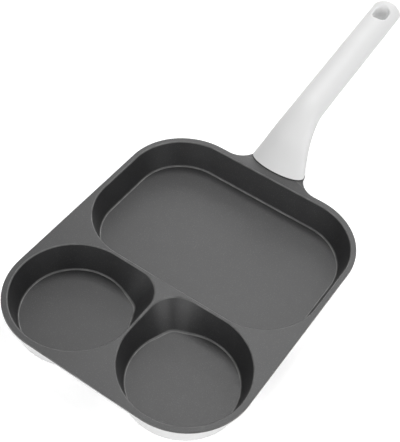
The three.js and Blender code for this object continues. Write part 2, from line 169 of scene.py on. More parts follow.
def loft(name: str, rings: Sequence[np.ndarray]) -> Piece:
    """Skins a closed solid through rings of equal point count, capped at both ends.

    Args:
        name: The object's name.
        rings: The rings, each counter-clockwise as seen from the last one's side.

    Returns:
        The solid.
    """
    count = len(rings[0])
    last = (len(rings) - 1) * count
    faces: list[Sequence[int]] = [range(count - 1, -1, -1), range(last, last + count)]
    for low in range(0, last, count):
        for i in range(count):
            after = (i + 1) % count
            faces.append((low + i, low + after, low + count + after, low + count + i))
    return mesh_object(name, np.concatenate(rings), faces)


def lathe(name: str, profile: Sequence[tuple[float, float]], segments: int, place: Matrix) -> Piece:
    """Turns a closed profile about its own axis and puts the solid in place.

    Args:
        name: The object's name.
        profile: Radius and height pairs, from the lowest point of the axis or bore round to its start.
        segments: The steps of a full turn.
        place: The axis frame.

    Returns:
        The turned solid.
    """
    points: list[Vector] = []
    faces: list[list[int]] = []
    count = len(profile)
    for step in range(segments):
        angle = 2 * math.pi * step / segments
        points += [place @ Vector((r * math.cos(angle), r * math.sin(angle), h)) for r, h in profile]
        after = (step + 1) % segments
        for i in range(count):
            j = (i + 1) % count
            faces.append([step * count + i, after * count + i, after * count + j, step * count + j])
    made = mesh_object(name, points, faces)
    clean(made)
    return made


def clean(piece: Piece, gap: float = 1e-7) -> None:
    """Merges doubled points, drops empty faces and turns the rest outwards.

    Args:
        piece: The object whose mesh is cleaned.
        gap: Points nearer than this are one.
    """
    shape = bmesh.new()
    shape.from_mesh(piece.data)
    bmesh.ops.remove_doubles(shape, verts=shape.verts, dist=gap)
    bmesh.ops.dissolve_degenerate(shape, edges=shape.edges, dist=gap)
    bmesh.ops.recalc_face_normals(shape, faces=shape.faces)
    shape.to_mesh(piece.data)
    shape.free()


def settle(piece: Piece) -> None:
    """Turns a piece with its modifiers into a plain mesh.

    Args:
        piece: The piece.
    """
    graph = bpy.context.evaluated_depsgraph_get()
    old = piece.data
    made = bpy.data.meshes.new_from_object(piece.evaluated_get(graph))
    piece.modifiers.clear()
    piece.data = made
    made.name = piece.name
    bpy.data.meshes.remove(old)


class Combine(Enum):
    """What a tool solid does to a body."""

    JOIN = "UNION"
    CUT = "DIFFERENCE"
    KEEP = "INTERSECT"


def combine(body: Piece, how: Combine, *tools: Piece) -> None:
    """Joins, cuts or trims a body by tool solids, which are used up.

    Args:
        body: The solid that changes.
        how: What each tool does.
        *tools: The tool solids.
    """
    for tool in tools:
        modifier = body.modifiers.new(how.name, "BOOLEAN")
        modifier.operation = how.value
        modifier.solver = "MANIFOLD"
        modifier.object = tool
        settle(body)
        spent = tool.data
        bpy.data.objects.remove(tool)
        bpy.data.meshes.remove(spent)


def mark_wear_and_highlights(piece: Piece, radius: float = 3 * MM) -> None:
    """Marks the points where a piece bends sharply, for rubbing on its edges and a painted highlight along
    lips and fillets.

    Args:
        piece: The piece.
        radius: Edges rounder than this are marked less.
    """
    shape = bmesh.new()
    shape.from_mesh(piece.data)
    marks = []
    for point in shape.verts:
        bend = 0.0
        for edge in point.link_edges:
            if len(edge.link_faces) == 2:
                here, there = [face.calc_center_median() for face in edge.link_faces]
                turn = edge.calc_face_angle_signed(0) / max((here - there).length, LEAST_STEP)
                bend = turn if abs(turn) > abs(bend) else bend
        # Painted highlight: a hollow edge is marked only where it is nearly level, a light line along a
        # well's floor fillet that stands in for its sheen.
        mark_share = OUTER_WEAR_AND_HIGHLIGHT if bend > 0 else max(point.normal.z, 0.0) ** HOLLOW_HIGHLIGHT_POWER
        marks.append(min(abs(bend) * radius, 1.0) * mark_share)
    shape.free()
    mark = piece.data.attributes.new(WEAR_AND_HIGHLIGHT_MARK, "FLOAT", "POINT")
    mark.data.foreach_set("value", marks)


def shade(piece: Piece, crease: float) -> None:
    """Shades a piece smooth up to a crease angle, with flats kept flat, and marks its edges for rubbing and
    painted highlights.

    Args:
        piece: The piece.
        crease: Edges sharper than this stay sharp, in degrees.
    """
    piece.data.shade_smooth()
    piece.data.set_sharp_from_angle(angle=math.radians(crease))
    weighted = piece.modifiers.new("flats", "WEIGHTED_NORMAL")
    weighted.keep_sharp = True
    weighted.weight = 100
    settle(piece)
    mark_wear_and_highlights(piece)


class SizeTree:
    """A Geometry Nodes tree with named sizes as its inputs."""

    def __init__(self, name: str, sizes: dict[str, float | int], finish: bpy.types.Material) -> None:
        """Starts the tree.

        Args:
            name: The tree's name.
            sizes: Input names with their values; whole numbers are counts.
            finish: The material of what the tree makes.
        """
        self.tree = bpy.data.node_groups.new(name, "GeometryNodeTree")
        self.sizes = sizes
        self.finish = finish
        ports = self.tree.interface
        ports.new_socket("Geometry", in_out="INPUT", socket_type="NodeSocketGeometry")
        ports.new_socket("Geometry", in_out="OUTPUT", socket_type="NodeSocketGeometry")
        self.keys: dict[str, str] = {}
        for label, value in sizes.items():
            kind = "NodeSocketInt" if isinstance(value, int) else "NodeSocketFloat"
            self.keys[label] = ports.new_socket(label, in_out="INPUT", socket_type=kind).identifier
        self.given = add_node(self.tree, "NodeGroupInput").outputs

    def close(self, made: bpy.types.Node) -> None:
        """Realizes what the tree made, gives it its material and ends the tree.

        Args:
            made: The node whose first output is the shape.
        """
        real = add_node(self.tree, "GeometryNodeRealizeInstances", {"Geometry": made})
        dressed = add_node(self.tree, "GeometryNodeSetMaterial", {"Geometry": real, "Material": self.finish})
        add_node(self.tree, "NodeGroupOutput", {"Geometry": dressed})

    def run(self, piece: Piece) -> None:
        """Runs the tree on a piece and leaves a plain mesh.

        Args:
            piece: The object that the tree works on.
        """
        modifier = piece.modifiers.new(self.tree.name, "NODES")
        modifier.node_group = self.tree
        for label, value in self.sizes.items():
            modifier[self.keys[label]] = value
        settle(piece)


@dataclass
class Pattern:
    """What a finish paints on a piece.

    Attributes:
        colour: The colour before edges are marked by rubbing and painted highlights.
        gloss: The noise that changes the gloss.
        relief: The pattern that the surface stands up by.
        height: How high it stands.
    """

    colour: bpy.types.NodeSocket
    gloss: bpy.types.NodeSocket
    relief: bpy.types.NodeSocket
    height: float


@dataclass(frozen=True)
class Finish:
    """A surface: its base values, edges marked by rubbing and by painted highlights, and the pattern that a
    subclass paints.

    Attributes:
        name: The material's common name and how its surface was made.
        colour: The main colour, sRGB hex.
        wear_and_highlight_colour: The colour of edges, where rubbing shows and where a painted highlight
            stands in for their sheen.
        roughness: The mean roughness.
        metallic: 1 for bare metal.
        ior: Index of refraction; a metal keeps Blender's default.
        gloss_range: How far the roughness goes up and down.
        wear_and_highlight_share: Share of that colour on an edge where rubbing has bared it or a painted
            highlight is fullest.
        edge_patch: Size of the patches along an edge where that colour is stronger.
        EDGE_PATCH_RANGE: Noise values at which an edge gets half and all of its share.
        RELIEF: Share of a pattern's height that is shown.
    """

    EDGE_PATCH_RANGE: ClassVar[tuple[float, float]] = (0.35, 0.65)
    RELIEF: ClassVar[float] = 0.5

    name: str
    colour: str
    wear_and_highlight_colour: str
    roughness: float
    metallic: float = 0.0
    ior: float = 1.5
    gloss_range: float = 0.05
    wear_and_highlight_share: float = 0.5
    edge_patch: float = 9 * MM

    def material(self) -> bpy.types.Material:
        """Builds the material once, with its patterns in the piece's own coordinates.

        Returns:
            The finished material.
        """
        made = bpy.data.materials.get(self.name)
        if made:
            return made
        made = bpy.data.materials.new(self.name)
        made.use_nodes = True
        made.diffuse_color = linear(self.colour)
        tree = made.node_tree
        tree.nodes.clear()
        place = add_node(tree, "ShaderNodeTexCoord").outputs["Object"]
        pattern = self.paint(tree, place)
        # Edge mark: rubbing on edges, and a painted highlight along lips and fillets that stands in for their
        # sheen.
        edge = add_node(tree, "ShaderNodeAttribute", attribute_name=WEAR_AND_HIGHLIGHT_MARK).outputs["Fac"]
        edge_patches = add_node(tree, "ShaderNodeTexNoise", {"Vector": place, "Scale": 1 / self.edge_patch})
        bare = add_node(tree, "ShaderNodeMapRange", {
            "Value": edge_patches,
            "From Min": self.EDGE_PATCH_RANGE[0],
            "From Max": self.EDGE_PATCH_RANGE[1],
            "To Min": self.wear_and_highlight_share / 2,
            "To Max": self.wear_and_highlight_share,
        })
        share = add_node(tree, "ShaderNodeMath", {0: edge, 1: bare}, operation="MULTIPLY")
        colour = add_node(tree, "ShaderNodeMix", {
            "Factor": share,
            6: pattern.colour,
            7: linear(self.wear_and_highlight_colour),
        }, data_type="RGBA")
        gloss = add_node(tree, "ShaderNodeMapRange", {
            "Value": pattern.gloss,
            "From Min": NOISE_LOW,
            "From Max": NOISE_HIGH,
            "To Min": self.roughness - self.gloss_range,
            "To Max": self.roughness + self.gloss_range,
        })
        relief = add_node(tree, "ShaderNodeBump", {
            "Strength": self.RELIEF,
            "Distance": pattern.height,
            "Height": pattern.relief,
        })
        surface = add_node(tree, "ShaderNodeBsdfPrincipled", {
            "Base Color": colour.outputs[2],
            "Roughness": gloss,
            "Normal": relief,
            "Metallic": self.metallic,
            "IOR": self.ior,
        })
        add_node(tree, "ShaderNodeOutputMaterial", {"Surface": surface})
        return made

    def paint(self, tree: bpy.types.NodeTree, place: bpy.types.NodeSocket) -> Pattern:
        """Adds the pattern of a finish.

        Args:
            tree: The material's tree.
            place: The piece's own coordinates.

        Returns:
            The pattern's sockets.
        """
        raise NotImplementedError


@dataclass(frozen=True)
class NonStickCoat(Finish):
    """Sprayed fluoropolymer over blasted casting: a dark satin skin with fine mineral flecks.

    Attributes:
        fleck: Colour of the flecks.
        grain: Size of the sprayed grain. The real one, about 0.3 mm, is too fine to show.
        grain_height: Height of the grain.
        fleck_pitch: Mean distance of the flecks.
        fleck_reach: Where a fleck ends and where it is full, as shares of the pitch from its middle.
        fleck_share: Share of the fleck's colour where it is full.
        cloud: Size of the patches where the coat is a little thicker.
        cloud_range: How far their tone goes up and down.
    """

    fleck: str = "#4a4a4a"
    grain: float = 0.8 * MM
    grain_height: float = 0.09 * MM
    fleck_pitch: float = 1.2 * MM
    fleck_reach: tuple[float, float] = (0.3, 0.1)
    fleck_share: float = 0.5
    cloud: float = 16 * MM
    cloud_range: float = 0.15

    def paint(self, tree: bpy.types.NodeTree, place: bpy.types.NodeSocket) -> Pattern:
        """Adds grain, flecks and slow changes of tone and gloss.

        Args:
            tree: The material's tree.
            place: The piece's own coordinates.

        Returns:
            The pattern's sockets.
        """
        cloud, grain = [
            add_node(tree, "ShaderNodeTexNoise", {"Vector": place, "Scale": 1 / size, "Detail": detail})
            for size, detail in ((self.cloud, 6.0), (self.grain, 2.0))
        ]
        cells = add_node(tree, "ShaderNodeTexVoronoi", {"Vector": place, "Scale": 1 / self.fleck_pitch})
        fleck = add_node(tree, "ShaderNodeMapRange", {
            "Value": cells.outputs["Distance"],
            "From Min": self.fleck_reach[0],
            "From Max": self.fleck_reach[1],
            "To Max": self.fleck_share,
        })
        tone = add_node(tree, "ShaderNodeMapRange", {
            "Value": cloud,
            "From Min": NOISE_LOW,
            "From Max": NOISE_HIGH,
            "To Min": 1 - self.cloud_range,
            "To Max": 1 + self.cloud_range,
        })
        base = add_node(tree, "ShaderNodeMix", {
            "Factor": fleck,
            6: linear(self.colour),
            7: linear(self.fleck),
        }, data_type="RGBA")
        toned = add_node(tree, "ShaderNodeHueSaturation", {"Value": tone, "Color": base.outputs[2]})
        return Pattern(toned.outputs[0], grain.outputs[0], grain.outputs[0], self.grain_height)


@dataclass(frozen=True)
class SprayedCoat(Finish):
    """White sprayed and baked coat, or satin coated moulding: faint peel and an even tone.

    Attributes:
        stain: The slightly darker tone of handled or heated patches.
        stain_range: Noise values at which the stain starts and is full.
        stain_share: Share of the stain where it is full.
        patch: Size of those patches.
        peel: Size of the low waves that spraying or the mould leaves.
        peel_height: Their height.
    """

    stain: str = "#d4d4d4"
    stain_range: tuple[float, float] = (0.45, 0.8)
    stain_share: float = 0.4
    patch: float = 30 * MM
    peel: float = 1.2 * MM
    peel_height: float = 0.012 * MM

    def paint(self, tree: bpy.types.NodeTree, place: bpy.types.NodeSocket) -> Pattern:
        """Adds peel, and slow changes of tone and gloss.

        Args:
            tree: The material's tree.
            place: The piece's own coordinates.

        Returns:
            The pattern's sockets.
        """
        patch, peel = [
            add_node(tree, "ShaderNodeTexNoise", {"Vector": place, "Scale": 1 / size, "Detail": detail})
            for size, detail in ((self.patch, 4.0), (self.peel, 1.0))
        ]
        share = add_node(tree, "ShaderNodeMapRange", {
            "Value": patch,
            "From Min": self.stain_range[0],
            "From Max": self.stain_range[1],
            "To Max": self.stain_share,
        })
        base = add_node(tree, "ShaderNodeMix", {
            "Factor": share,
            6: linear(self.colour),
            7: linear(self.stain),
        }, data_type="RGBA")
        return Pattern(base.outputs[2], patch.outputs[0], peel.outputs[0], self.peel_height)


class Lay(Enum):
    """The direction of a metal's working marks, as the pattern's scale along X, Y and Z."""

    ALONG_X = (0.04, 1.0, 1.0)
    EVEN = (1.0, 1.0, 1.0)


@dataclass(frozen=True)
class WorkedMetal(Finish):
    """Bare or plated metal with the marks of its making.

    Attributes:
        metallic: 1, as every metal's.
        gloss_range: How far the roughness goes up and down, wider than a coat's.
        shadow: The darker tone between the marks.
        lay: How the marks run.
        mark: Width of a mark. Real brush marks are finer than the render can show.
        mark_height: Depth of a mark.
    """

    metallic: float = 1.0
    gloss_range: float = 0.08
    shadow: str = "#8e8f91"
    lay: Lay = Lay.EVEN
    mark: float = 0.5 * MM
    mark_height: float = 0.01 * MM

    def paint(self, tree: bpy.types.NodeTree, place: bpy.types.NodeSocket) -> Pattern:
        """Adds the marks as tone, gloss and relief.

        Args:
            tree: The material's tree.
            place: The piece's own coordinates.

        Returns:
            The pattern's sockets.
        """
        run = add_node(tree, "ShaderNodeMapping", {"Vector": place, "Scale": self.lay.value})
        marks = add_node(tree, "ShaderNodeTexNoise", {"Vector": run, "Scale": 1 / self.mark, "Detail": 3.0})
        base = add_node(tree, "ShaderNodeMix", {
            "Factor": marks,
            6: linear(self.colour),
            7: linear(self.shadow),
        }, data_type="RGBA")
        return Pattern(base.outputs[2], marks.outputs[0], marks.outputs[0], self.mark_height)


def coat(piece: Piece, finish: Finish, crease: float) -> None:
    """Gives a piece one finish all over and shades it.

    Args:
        piece: The piece.
        finish: Its finish.
        crease: Edges sharper than this stay sharp, in degrees.
    """
    piece.data.materials.clear()
    piece.data.materials.append(finish.material())
    for face in piece.data.polygons:
        face.material_index = 0
    shade(piece, crease)


# Fluoropolymer with mica, sprayed and cured: a dark body that reads grey where it mirrors a lamp,
# and light edge lines, mostly a painted highlight along lips and floor fillets, with some rubbing.
NON_STICK = NonStickCoat(
    "sprayed_non_stick", "#1b1b1c", "#8a8a89", roughness=0.46, gloss_range=0.03, wear_and_highlight_share=0.9)
# Heat-resisting white silicone paint, baked: a satin skin over the casting's outside.
WHITE_COAT = SprayedCoat("baked_white_coat", "#d7d7d7", "#c9c9c9", roughness=0.42, wear_and_highlight_share=0.3)
# Phenolic moulding with a soft satin coat: almost matt, so its form shows in slow shades. Its near-white edge
# colour is a painted highlight along the mouth and the hole.
HANDLE_COAT = SprayedCoat(
    "satin_coated_phenolic",
    "#dedede",
    "#f6f6f6",
    roughness=0.5,
    wear_and_highlight_share=0.3,
    stain="#dcdcdc",
    peel=0.9 * MM,
    peel_height=0.015 * MM,
)
# Bare die-cast aluminium where plates and tang are covered: even grey with a fine skin.
CAST_ALUMINIUM = WorkedMetal("die_cast_aluminium", "#b4b5b6", "#c9cacb", roughness=0.5, mark=0.8 * MM)
# Ferritic stainless sheet, brushed lengthwise before it is punched.
BRUSHED_STEEL = WorkedMetal(
    "brushed_ferritic_steel", "#c3c3c2", "#d8d8d7", roughness=0.32, lay=Lay.ALONG_X)
# Zinc-plated carbon steel: bright and a little blue.
ZINC_STEEL = WorkedMetal("zinc_plated_steel", "#b9bdc1", "#d0d3d6", roughness=0.3, shadow="#8a9096")
# Moulded silicone rubber: black and matt with a dusty bloom.
SILICONE = SprayedCoat(
    "moulded_black_silicone",
    "#191919",
    "#2b2b2b",
    roughness=0.7,
    ior=1.42,
    stain="#262626",
    patch=6 * MM,
    peel=0.6 * MM,
)


class Side(IntEnum):
    """The side of the pan that an egg well lies on."""

    LEFT = -1
    RIGHT = 1


@dataclass
class Casting:
    """The die-cast pan: deck, three wells in three cups, neck and tang.

    Attributes:
        width: Across the deck.
        length: Along the deck, without the neck.
        height: From the cups' feet to the deck's top.
        deck: The deck's thickness.
        deck_round: Radius of the deck's edges.
        side_rim: Deck left beside the large well.
        back_rim: Deck left behind the large well.
        egg_rim: Deck left round the egg wells.
        centre_divider: Deck left between the egg wells.
        cross_divider: Deck left between the egg wells and the large one.
        depth: Depth of the wells.
        wall: Thickness of a cup's wall at the deck.
        wall_growth: How much thicker it is at the floor.
        inset: How far a wall leans in over the depth.
        floor_fillet: Radius between floor and wall.
        lip: Radius of a well's edge at the deck.
        foot: Radius of a cup's lower edge.
        egg_fillet: Radius of an egg well's inner corner at the deck.
        egg_point: How far the floor's sides are drawn out towards that corner.
        egg_round: Radius of the corner at the floor.
        plate_margin: From a cup's foot to its plate.
        plate_thickness: Thickness of the plates.
        gap: Clearance round a plate.
        neck_reach: From the deck's back to the handle's foot.
        neck_flare: Radius from the deck's back to the neck.
        neck_depth: Depth of the neck's chin below the deck's top.
        neck_taper: How much narrower the chin is at its lower end, on each side.
        corner_steps: Steps round each corner of an outline.
        fillet_steps: Steps up the floor's fillet.
        lip_steps: Steps round a well's edge.
        edge_steps: Steps round the deck's edges and the cups' feet.
        chin_steps: Steps up the chin.
        chin_sides: Steps round its back.
        crease: Edges sharper than this stay sharp, in degrees.
    """

    width: float = 197 * MM
    length: float = 240 * MM
    height: float = 25.5 * MM
    deck: float = 3.2 * MM
    deck_round: float = 0.8 * MM
    side_rim: float = 4.2 * MM
    back_rim: float = 5.2 * MM
    egg_rim: float = 4.8 * MM
    centre_divider: float = 1.8 * MM
    cross_divider: float = 2.1 * MM
    depth: float = 22.6 * MM
    wall: float = 2.7 * MM
    wall_growth: float = 0.4 * MM
    inset: float = 5.2 * MM
    floor_fillet: float = 1.2 * MM
    lip: float = 0.9 * MM
    foot: float = 1.5 * MM
    egg_fillet: float = 21.8 * MM
    egg_point: float = 3.2 * MM
    egg_round: float = 11 * MM
    plate_margin: float = 6 * MM
    plate_thickness: float = 1 * MM
    gap: float = 0.3 * MM
    neck_reach: float = 11 * MM
    neck_flare: float = 17.2 * MM
    neck_depth: float = 14 * MM
    neck_taper: float = 8 * MM
    corner_steps: int = 28
    fillet_steps: int = 8
    lip_steps: int = 6
    edge_steps: int = 5
    chin_steps: int = 14
    chin_sides: int = 24
    crease: float = 32

    def __post_init__(self) -> None:
        """Works out the sizes that follow from the driving ones."""
        self.egg_radius = (self.width - 2 * self.egg_rim - self.centre_divider) / 4
        self.egg_x = self.egg_radius + self.centre_divider / 2
        self.egg_y = -self.length / 2 + self.egg_rim + self.egg_radius
        self.corner = self.egg_radius + self.egg_rim
        self.main_half = self.width / 2 - self.side_rim
        self.main_near = self.egg_y + self.egg_radius + self.cross_divider
        self.main_far = self.length / 2 - self.back_rim
        self.main_corner = self.corner - (self.side_rim + self.back_rim) / 2
        self.wall_offset = self.wall / math.cos(math.atan2(self.inset, self.depth))
        self.floor = self.height - self.depth
        self.coat_reach = self.wall / 3

    def lean(self, z: float) -> float:
        """Gives the wall's lean at a height: 0 at the deck, 1 at the floor."""
        return (self.height - z) / self.depth

    def main_corners(self, lean: float, offset: float) -> tuple[float, float, float, float]:
        """Places the round corners of the large well.

        Args:
            lean: The wall's lean, 0 at the deck.
            offset: How far the outline is grown.

        Returns:
            Their radius, and their middles' distance from the pan's axis and near and far places along it.
        """
        inset = lean * self.inset - offset
        radius = self.main_corner - inset
        right = self.main_half - inset - radius
        return radius, right, self.main_near + inset + radius, self.main_far - inset - radius

    def main_outline(self, lean: float, offset: float) -> np.ndarray:
        """Draws the large well's outline: a rectangle with round corners.

        Args:
            lean: The wall's lean, 0 at the deck.
            offset: How far the outline is grown.

        Returns:
            The outline's points.
        """
        radius, right, near, far = self.main_corners(lean, offset)
        turn = smooth_steps(self.corner_steps)
        middles = ((right, far), (-right, far), (-right, near), (right, near))
        return np.concatenate([
            arc(middle, (radius, radius), turn + quarter * QUARTER) for quarter, middle in enumerate(middles)
        ])

    def cornered(self, turn: np.ndarray, radius: float, half: float, fillet: float) -> np.ndarray:
        """Gives the radius of a circle that two tangent sides draw out to a round corner.

        Args:
            turn: Angles from the corner's diagonal, all positive.
            radius: The circle's radius.
            half: The angle from the diagonal to where a side leaves the circle.
            fillet: The corner's radius.

        Returns:
            The radius at each angle.
        """
        reach = (radius - fillet) / math.cos(half)
        across = np.minimum(reach * np.sin(turn), fillet)
        corner = reach * np.cos(turn) + np.sqrt(fillet**2 - across**2)
        side = radius / np.cos(np.maximum(half - turn, 0))
        contact = math.atan2(fillet * math.sin(half), reach + fillet * math.cos(half))
        return np.where(turn < contact, corner, side)

    def egg_radius_at(self, turn: np.ndarray, lean: float) -> np.ndarray:
        """Gives an egg well's radius at any lean by the angle from its inner corner's diagonal.

        Args:
            turn: Angles from the diagonal, all positive.
            lean: The wall's lean, 0 at the deck.

        Returns:
            The radius, blended from the deck's corner to the floor's, each with its own rounding.
        """
        floor = self.egg_radius - self.inset
        tangent = math.acos(floor / (floor + self.egg_point))
        deck = self.cornered(turn, self.egg_radius, QUARTER / 2, self.egg_fillet)
        low = self.cornered(turn, floor, tangent, self.egg_round)
        return deck + (low - deck) * lean

    def egg_outline(self, side: Side, lean: float, offset: float) -> np.ndarray:
        """Draws an egg well's outline.

        Args:
            side: The side of the pan.
            lean: The wall's lean, 0 at the deck.
            offset: How far the outline is grown.

        Returns:
            The outline's points.
        """
        eighth = QUARTER / 2
        corner = np.linspace(-eighth, eighth, 2 * self.corner_steps, endpoint=False)
        around = np.linspace(eighth, 2 * math.pi - eighth, 4 * self.corner_steps, endpoint=False)
        turn = np.concatenate([corner, around])
        from_corner = np.abs(np.where(turn > math.pi, turn - 2 * math.pi, turn))
        radius = self.egg_radius_at(from_corner, lean) + offset
        return arc((side * self.egg_x, self.egg_y), (radius, radius), QUARTER + side * QUARTER / 2 + turn)

    def outlines(self, lean: float, offset: float) -> dict[str, np.ndarray]:
        """Draws the outlines of all wells, by name.

        Args:
            lean: The wall's lean, 0 at the deck.
            offset: How far the outlines are grown.

        Returns:
            The points of each well's outline.
        """
        return {
            "main": self.main_outline(lean, offset),
            "left": self.egg_outline(Side.LEFT, lean, offset),
            "right": self.egg_outline(Side.RIGHT, lean, offset),
        }

    def in_well(self, x: float, y: float, z: float, offset: float) -> bool:
        """Tells whether a point lies in a well, or within an offset of its wall.

        Args:
            x: Across the pan.
            y: Along the pan.
            z: Height.
            offset: How far outside the wall still counts.

        Returns:
            True inside.
        """
        lean = min(max(self.lean(z), 0.0), 1.0)
        if self.main_near - offset < y:
            radius, right, near, far = self.main_corners(lean, offset)
            return math.hypot(max(abs(x) - right, 0.0), max(near - y, y - far, 0.0)) < radius
        side = Side.RIGHT if x > 0 else Side.LEFT
        dx, dy = x - side * self.egg_x, y - self.egg_y
        turn = math.atan2(dy, dx) - QUARTER - side * QUARTER / 2
        turn = abs((turn + math.pi) % (2 * math.pi) - math.pi)
        return math.hypot(dx, dy) < float(self.egg_radius_at(np.array([turn]), lean)[0]) + offset

    def hollow(self, well: str) -> Piece:
        """Makes the hollow of a well: floor fillet, leaning wall and rounded lip, open at the top.

        Args:
            well: The well's name.

        Returns:
            The tool that cuts the well.
        """
        steps = [(self.floor + up, -left) for up, left in rounding(self.floor_fillet, self.fillet_steps)]
        steps += [(self.height - left, out) for out, left in rounding(self.lip, self.lip_steps)]
        rings = []
        for z, offset in steps:
            lean = self.lean(z)
            rings.append(ring_at(self.outlines(lean, offset - self.wall_growth * lean)[well], z))
        rings.append(ring_at(self.outlines(0, self.lip)[well], self.height + self.deck))
        return loft(f"hollow_{well}", rings)

    def cup(self, well: str) -> Piece:
        """Makes the outside of a cup: round foot and a wall that leans with the well's.

        Args:
            well: The well's name.

        Returns:
            The solid that the deck joins.
        """
        steps = [(up, self.wall_offset - left) for up, left in rounding(self.foot, self.edge_steps)]
        steps.append((self.height - self.deck / 2, self.wall_offset))
        rings = [ring_at(self.outlines(self.lean(z), offset)[well], z) for z, offset in steps]
        return loft(f"cup_{well}", rings)

    def plate_outline(self, well: str, gap: float) -> np.ndarray:
        """Draws the outline of a cup's plate, or with a gap that of its recess."""
        return self.outlines(self.lean(0), self.wall_offset - self.plate_margin + gap)[well]

    def recess(self, well: str) -> Piece:
        """Makes the tool that cuts the recess for a plate.

        Args:
            well: The well above the plate.

        Returns:
            The tool.
        """
        outline = self.plate_outline(well, self.gap)
        top = self.plate_thickness + self.gap
        return loft(f"recess_{well}", [ring_at(outline, -self.foot), ring_at(outline, top)])

    def deck_outline(self, handle: "Handle", shrink: float) -> np.ndarray:
        """Draws the deck with the neck's platform.

        Args:
            handle: The handle that the platform carries.
            shrink: How far the outline is drawn in.

        Returns:
            The outline's points.
        """
        right, back = self.width / 2, self.length / 2
        x, y, radius = right - self.corner, back - self.corner, self.corner - shrink
        turn = math.acos(1 - self.neck_reach / self.neck_flare)
        neck_half, neck_back = handle.mouth()
        flare_x = neck_half + self.neck_flare * math.sin(turn)
        flare_y = back + self.neck_flare
        flare = self.neck_flare + shrink
        quarter = smooth_steps(self.corner_steps)
        bend = smooth_steps(self.corner_steps // 2, turn)
        half = smooth_steps(self.corner_steps, math.pi)
        corner, fillet = (radius, radius), (flare, flare)
        return np.concatenate([
            arc((x, -y), corner, quarter - QUARTER),
            arc((x, y), corner, quarter),
            arc((flare_x, flare_y), fillet, -QUARTER - bend),
            arc((0, back + self.neck_reach), (neck_half - shrink, neck_back - shrink), half[1:-1]),
            arc((-flare_x, flare_y), fillet, -QUARTER + bend[::-1]),
            arc((-x, y), corner, quarter + QUARTER),
            arc((-x, -y), corner, quarter + math.pi),
        ])

    def deck_plate(self, handle: "Handle") -> Piece:
        """Makes the deck with the neck's platform, with rounded edges.

        Args:
            handle: The handle that the platform carries.

        Returns:
            The deck.
        """
        edge = rounding(self.deck_round, self.edge_steps)
        low = [(self.height - self.deck + up, left) for up, left in edge]
        high = [(self.height - left, shrink) for shrink, left in edge]
        return loft("deck", [ring_at(self.deck_outline(handle, shrink), z) for z, shrink in low + high])

    def chin(self, handle: "Handle") -> Piece:
        """Makes the neck below its platform, drawn back to the large cup's wall.

        Args:
            handle: The handle that the neck carries.

        Returns:
            The chin.
        """
        wall_y = self.main_far + self.wall_offset - self.inset * self.neck_depth / self.depth
        root_y = self.main_far - self.inset / 2
        neck_half, neck_back = handle.mouth()
        back = neck_back - self.deck_round
        foot_y = self.length / 2 + self.neck_reach
        top = self.height - self.deck / 2
        turn = smooth_steps(self.chin_sides, math.pi)
        rings = []
        for angle in smooth_steps(self.chin_steps):
            out = math.sin(angle)
            half = neck_half - self.deck_round - self.neck_taper * (1 - out)
            reach = self.deck_round + (back - self.deck_round) * out
            middle = wall_y + (foot_y - wall_y) * out
            behind = arc((0, middle), (half, reach), turn)
            outline = np.concatenate([behind, [(-half, root_y), (half, root_y)]])
            rings.append(ring_at(outline, top - (self.neck_depth - self.deck / 2) * math.cos(angle)))
        return loft("chin", rings)

    def build(self, handle: "Handle") -> Piece:
        """Makes the casting as one solid.

        Args:
            handle: The handle that sits on the neck, for the tang and its tapped hole.

        Returns:
            The casting, without its finish.
        """
        wells = list(self.outlines(0, 0))
        body = self.deck_plate(handle)
        body.name = "pan_casting"
        combine(body, Combine.JOIN, self.chin(handle), *[self.cup(well) for well in wells])
        combine(body, Combine.CUT, *[self.hollow(well) for well in wells])
        combine(body, Combine.CUT, *[self.recess(well) for well in wells])
        combine(body, Combine.JOIN, handle.tang_bar(-self.deck, handle.tang_length, 0))
        combine(body, Combine.CUT, handle.fixing.bore(handle.tang_reach()))
        return body

    def dress(self, body: Piece) -> None:
        """Gives each face of the casting its coat.

        Args:
            body: The casting.
        """
        body.data.materials.clear()
        for finish in (NON_STICK, WHITE_COAT, CAST_ALUMINIUM):
            body.data.materials.append(finish.material())
        cooked, outside, bare = range(3)
        recess_top = self.plate_thickness + 2 * self.gap
        edge = self.height - self.deck_round
        for face in body.data.polygons:
            x, y, z = face.center
            if z > self.height + self.gap or (z < recess_top and self.in_well(x, y, z, -self.gap)):
                face.material_index = bare
            elif face.normal.z > 0 and (
                z > edge or (z > self.floor - self.gap and self.in_well(x, y, z, self.coat_reach))
            ):
                face.material_index = cooked
            else:
                face.material_index = outside
        shade(body, self.crease)
        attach(body, BODY)
        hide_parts("pan_body")


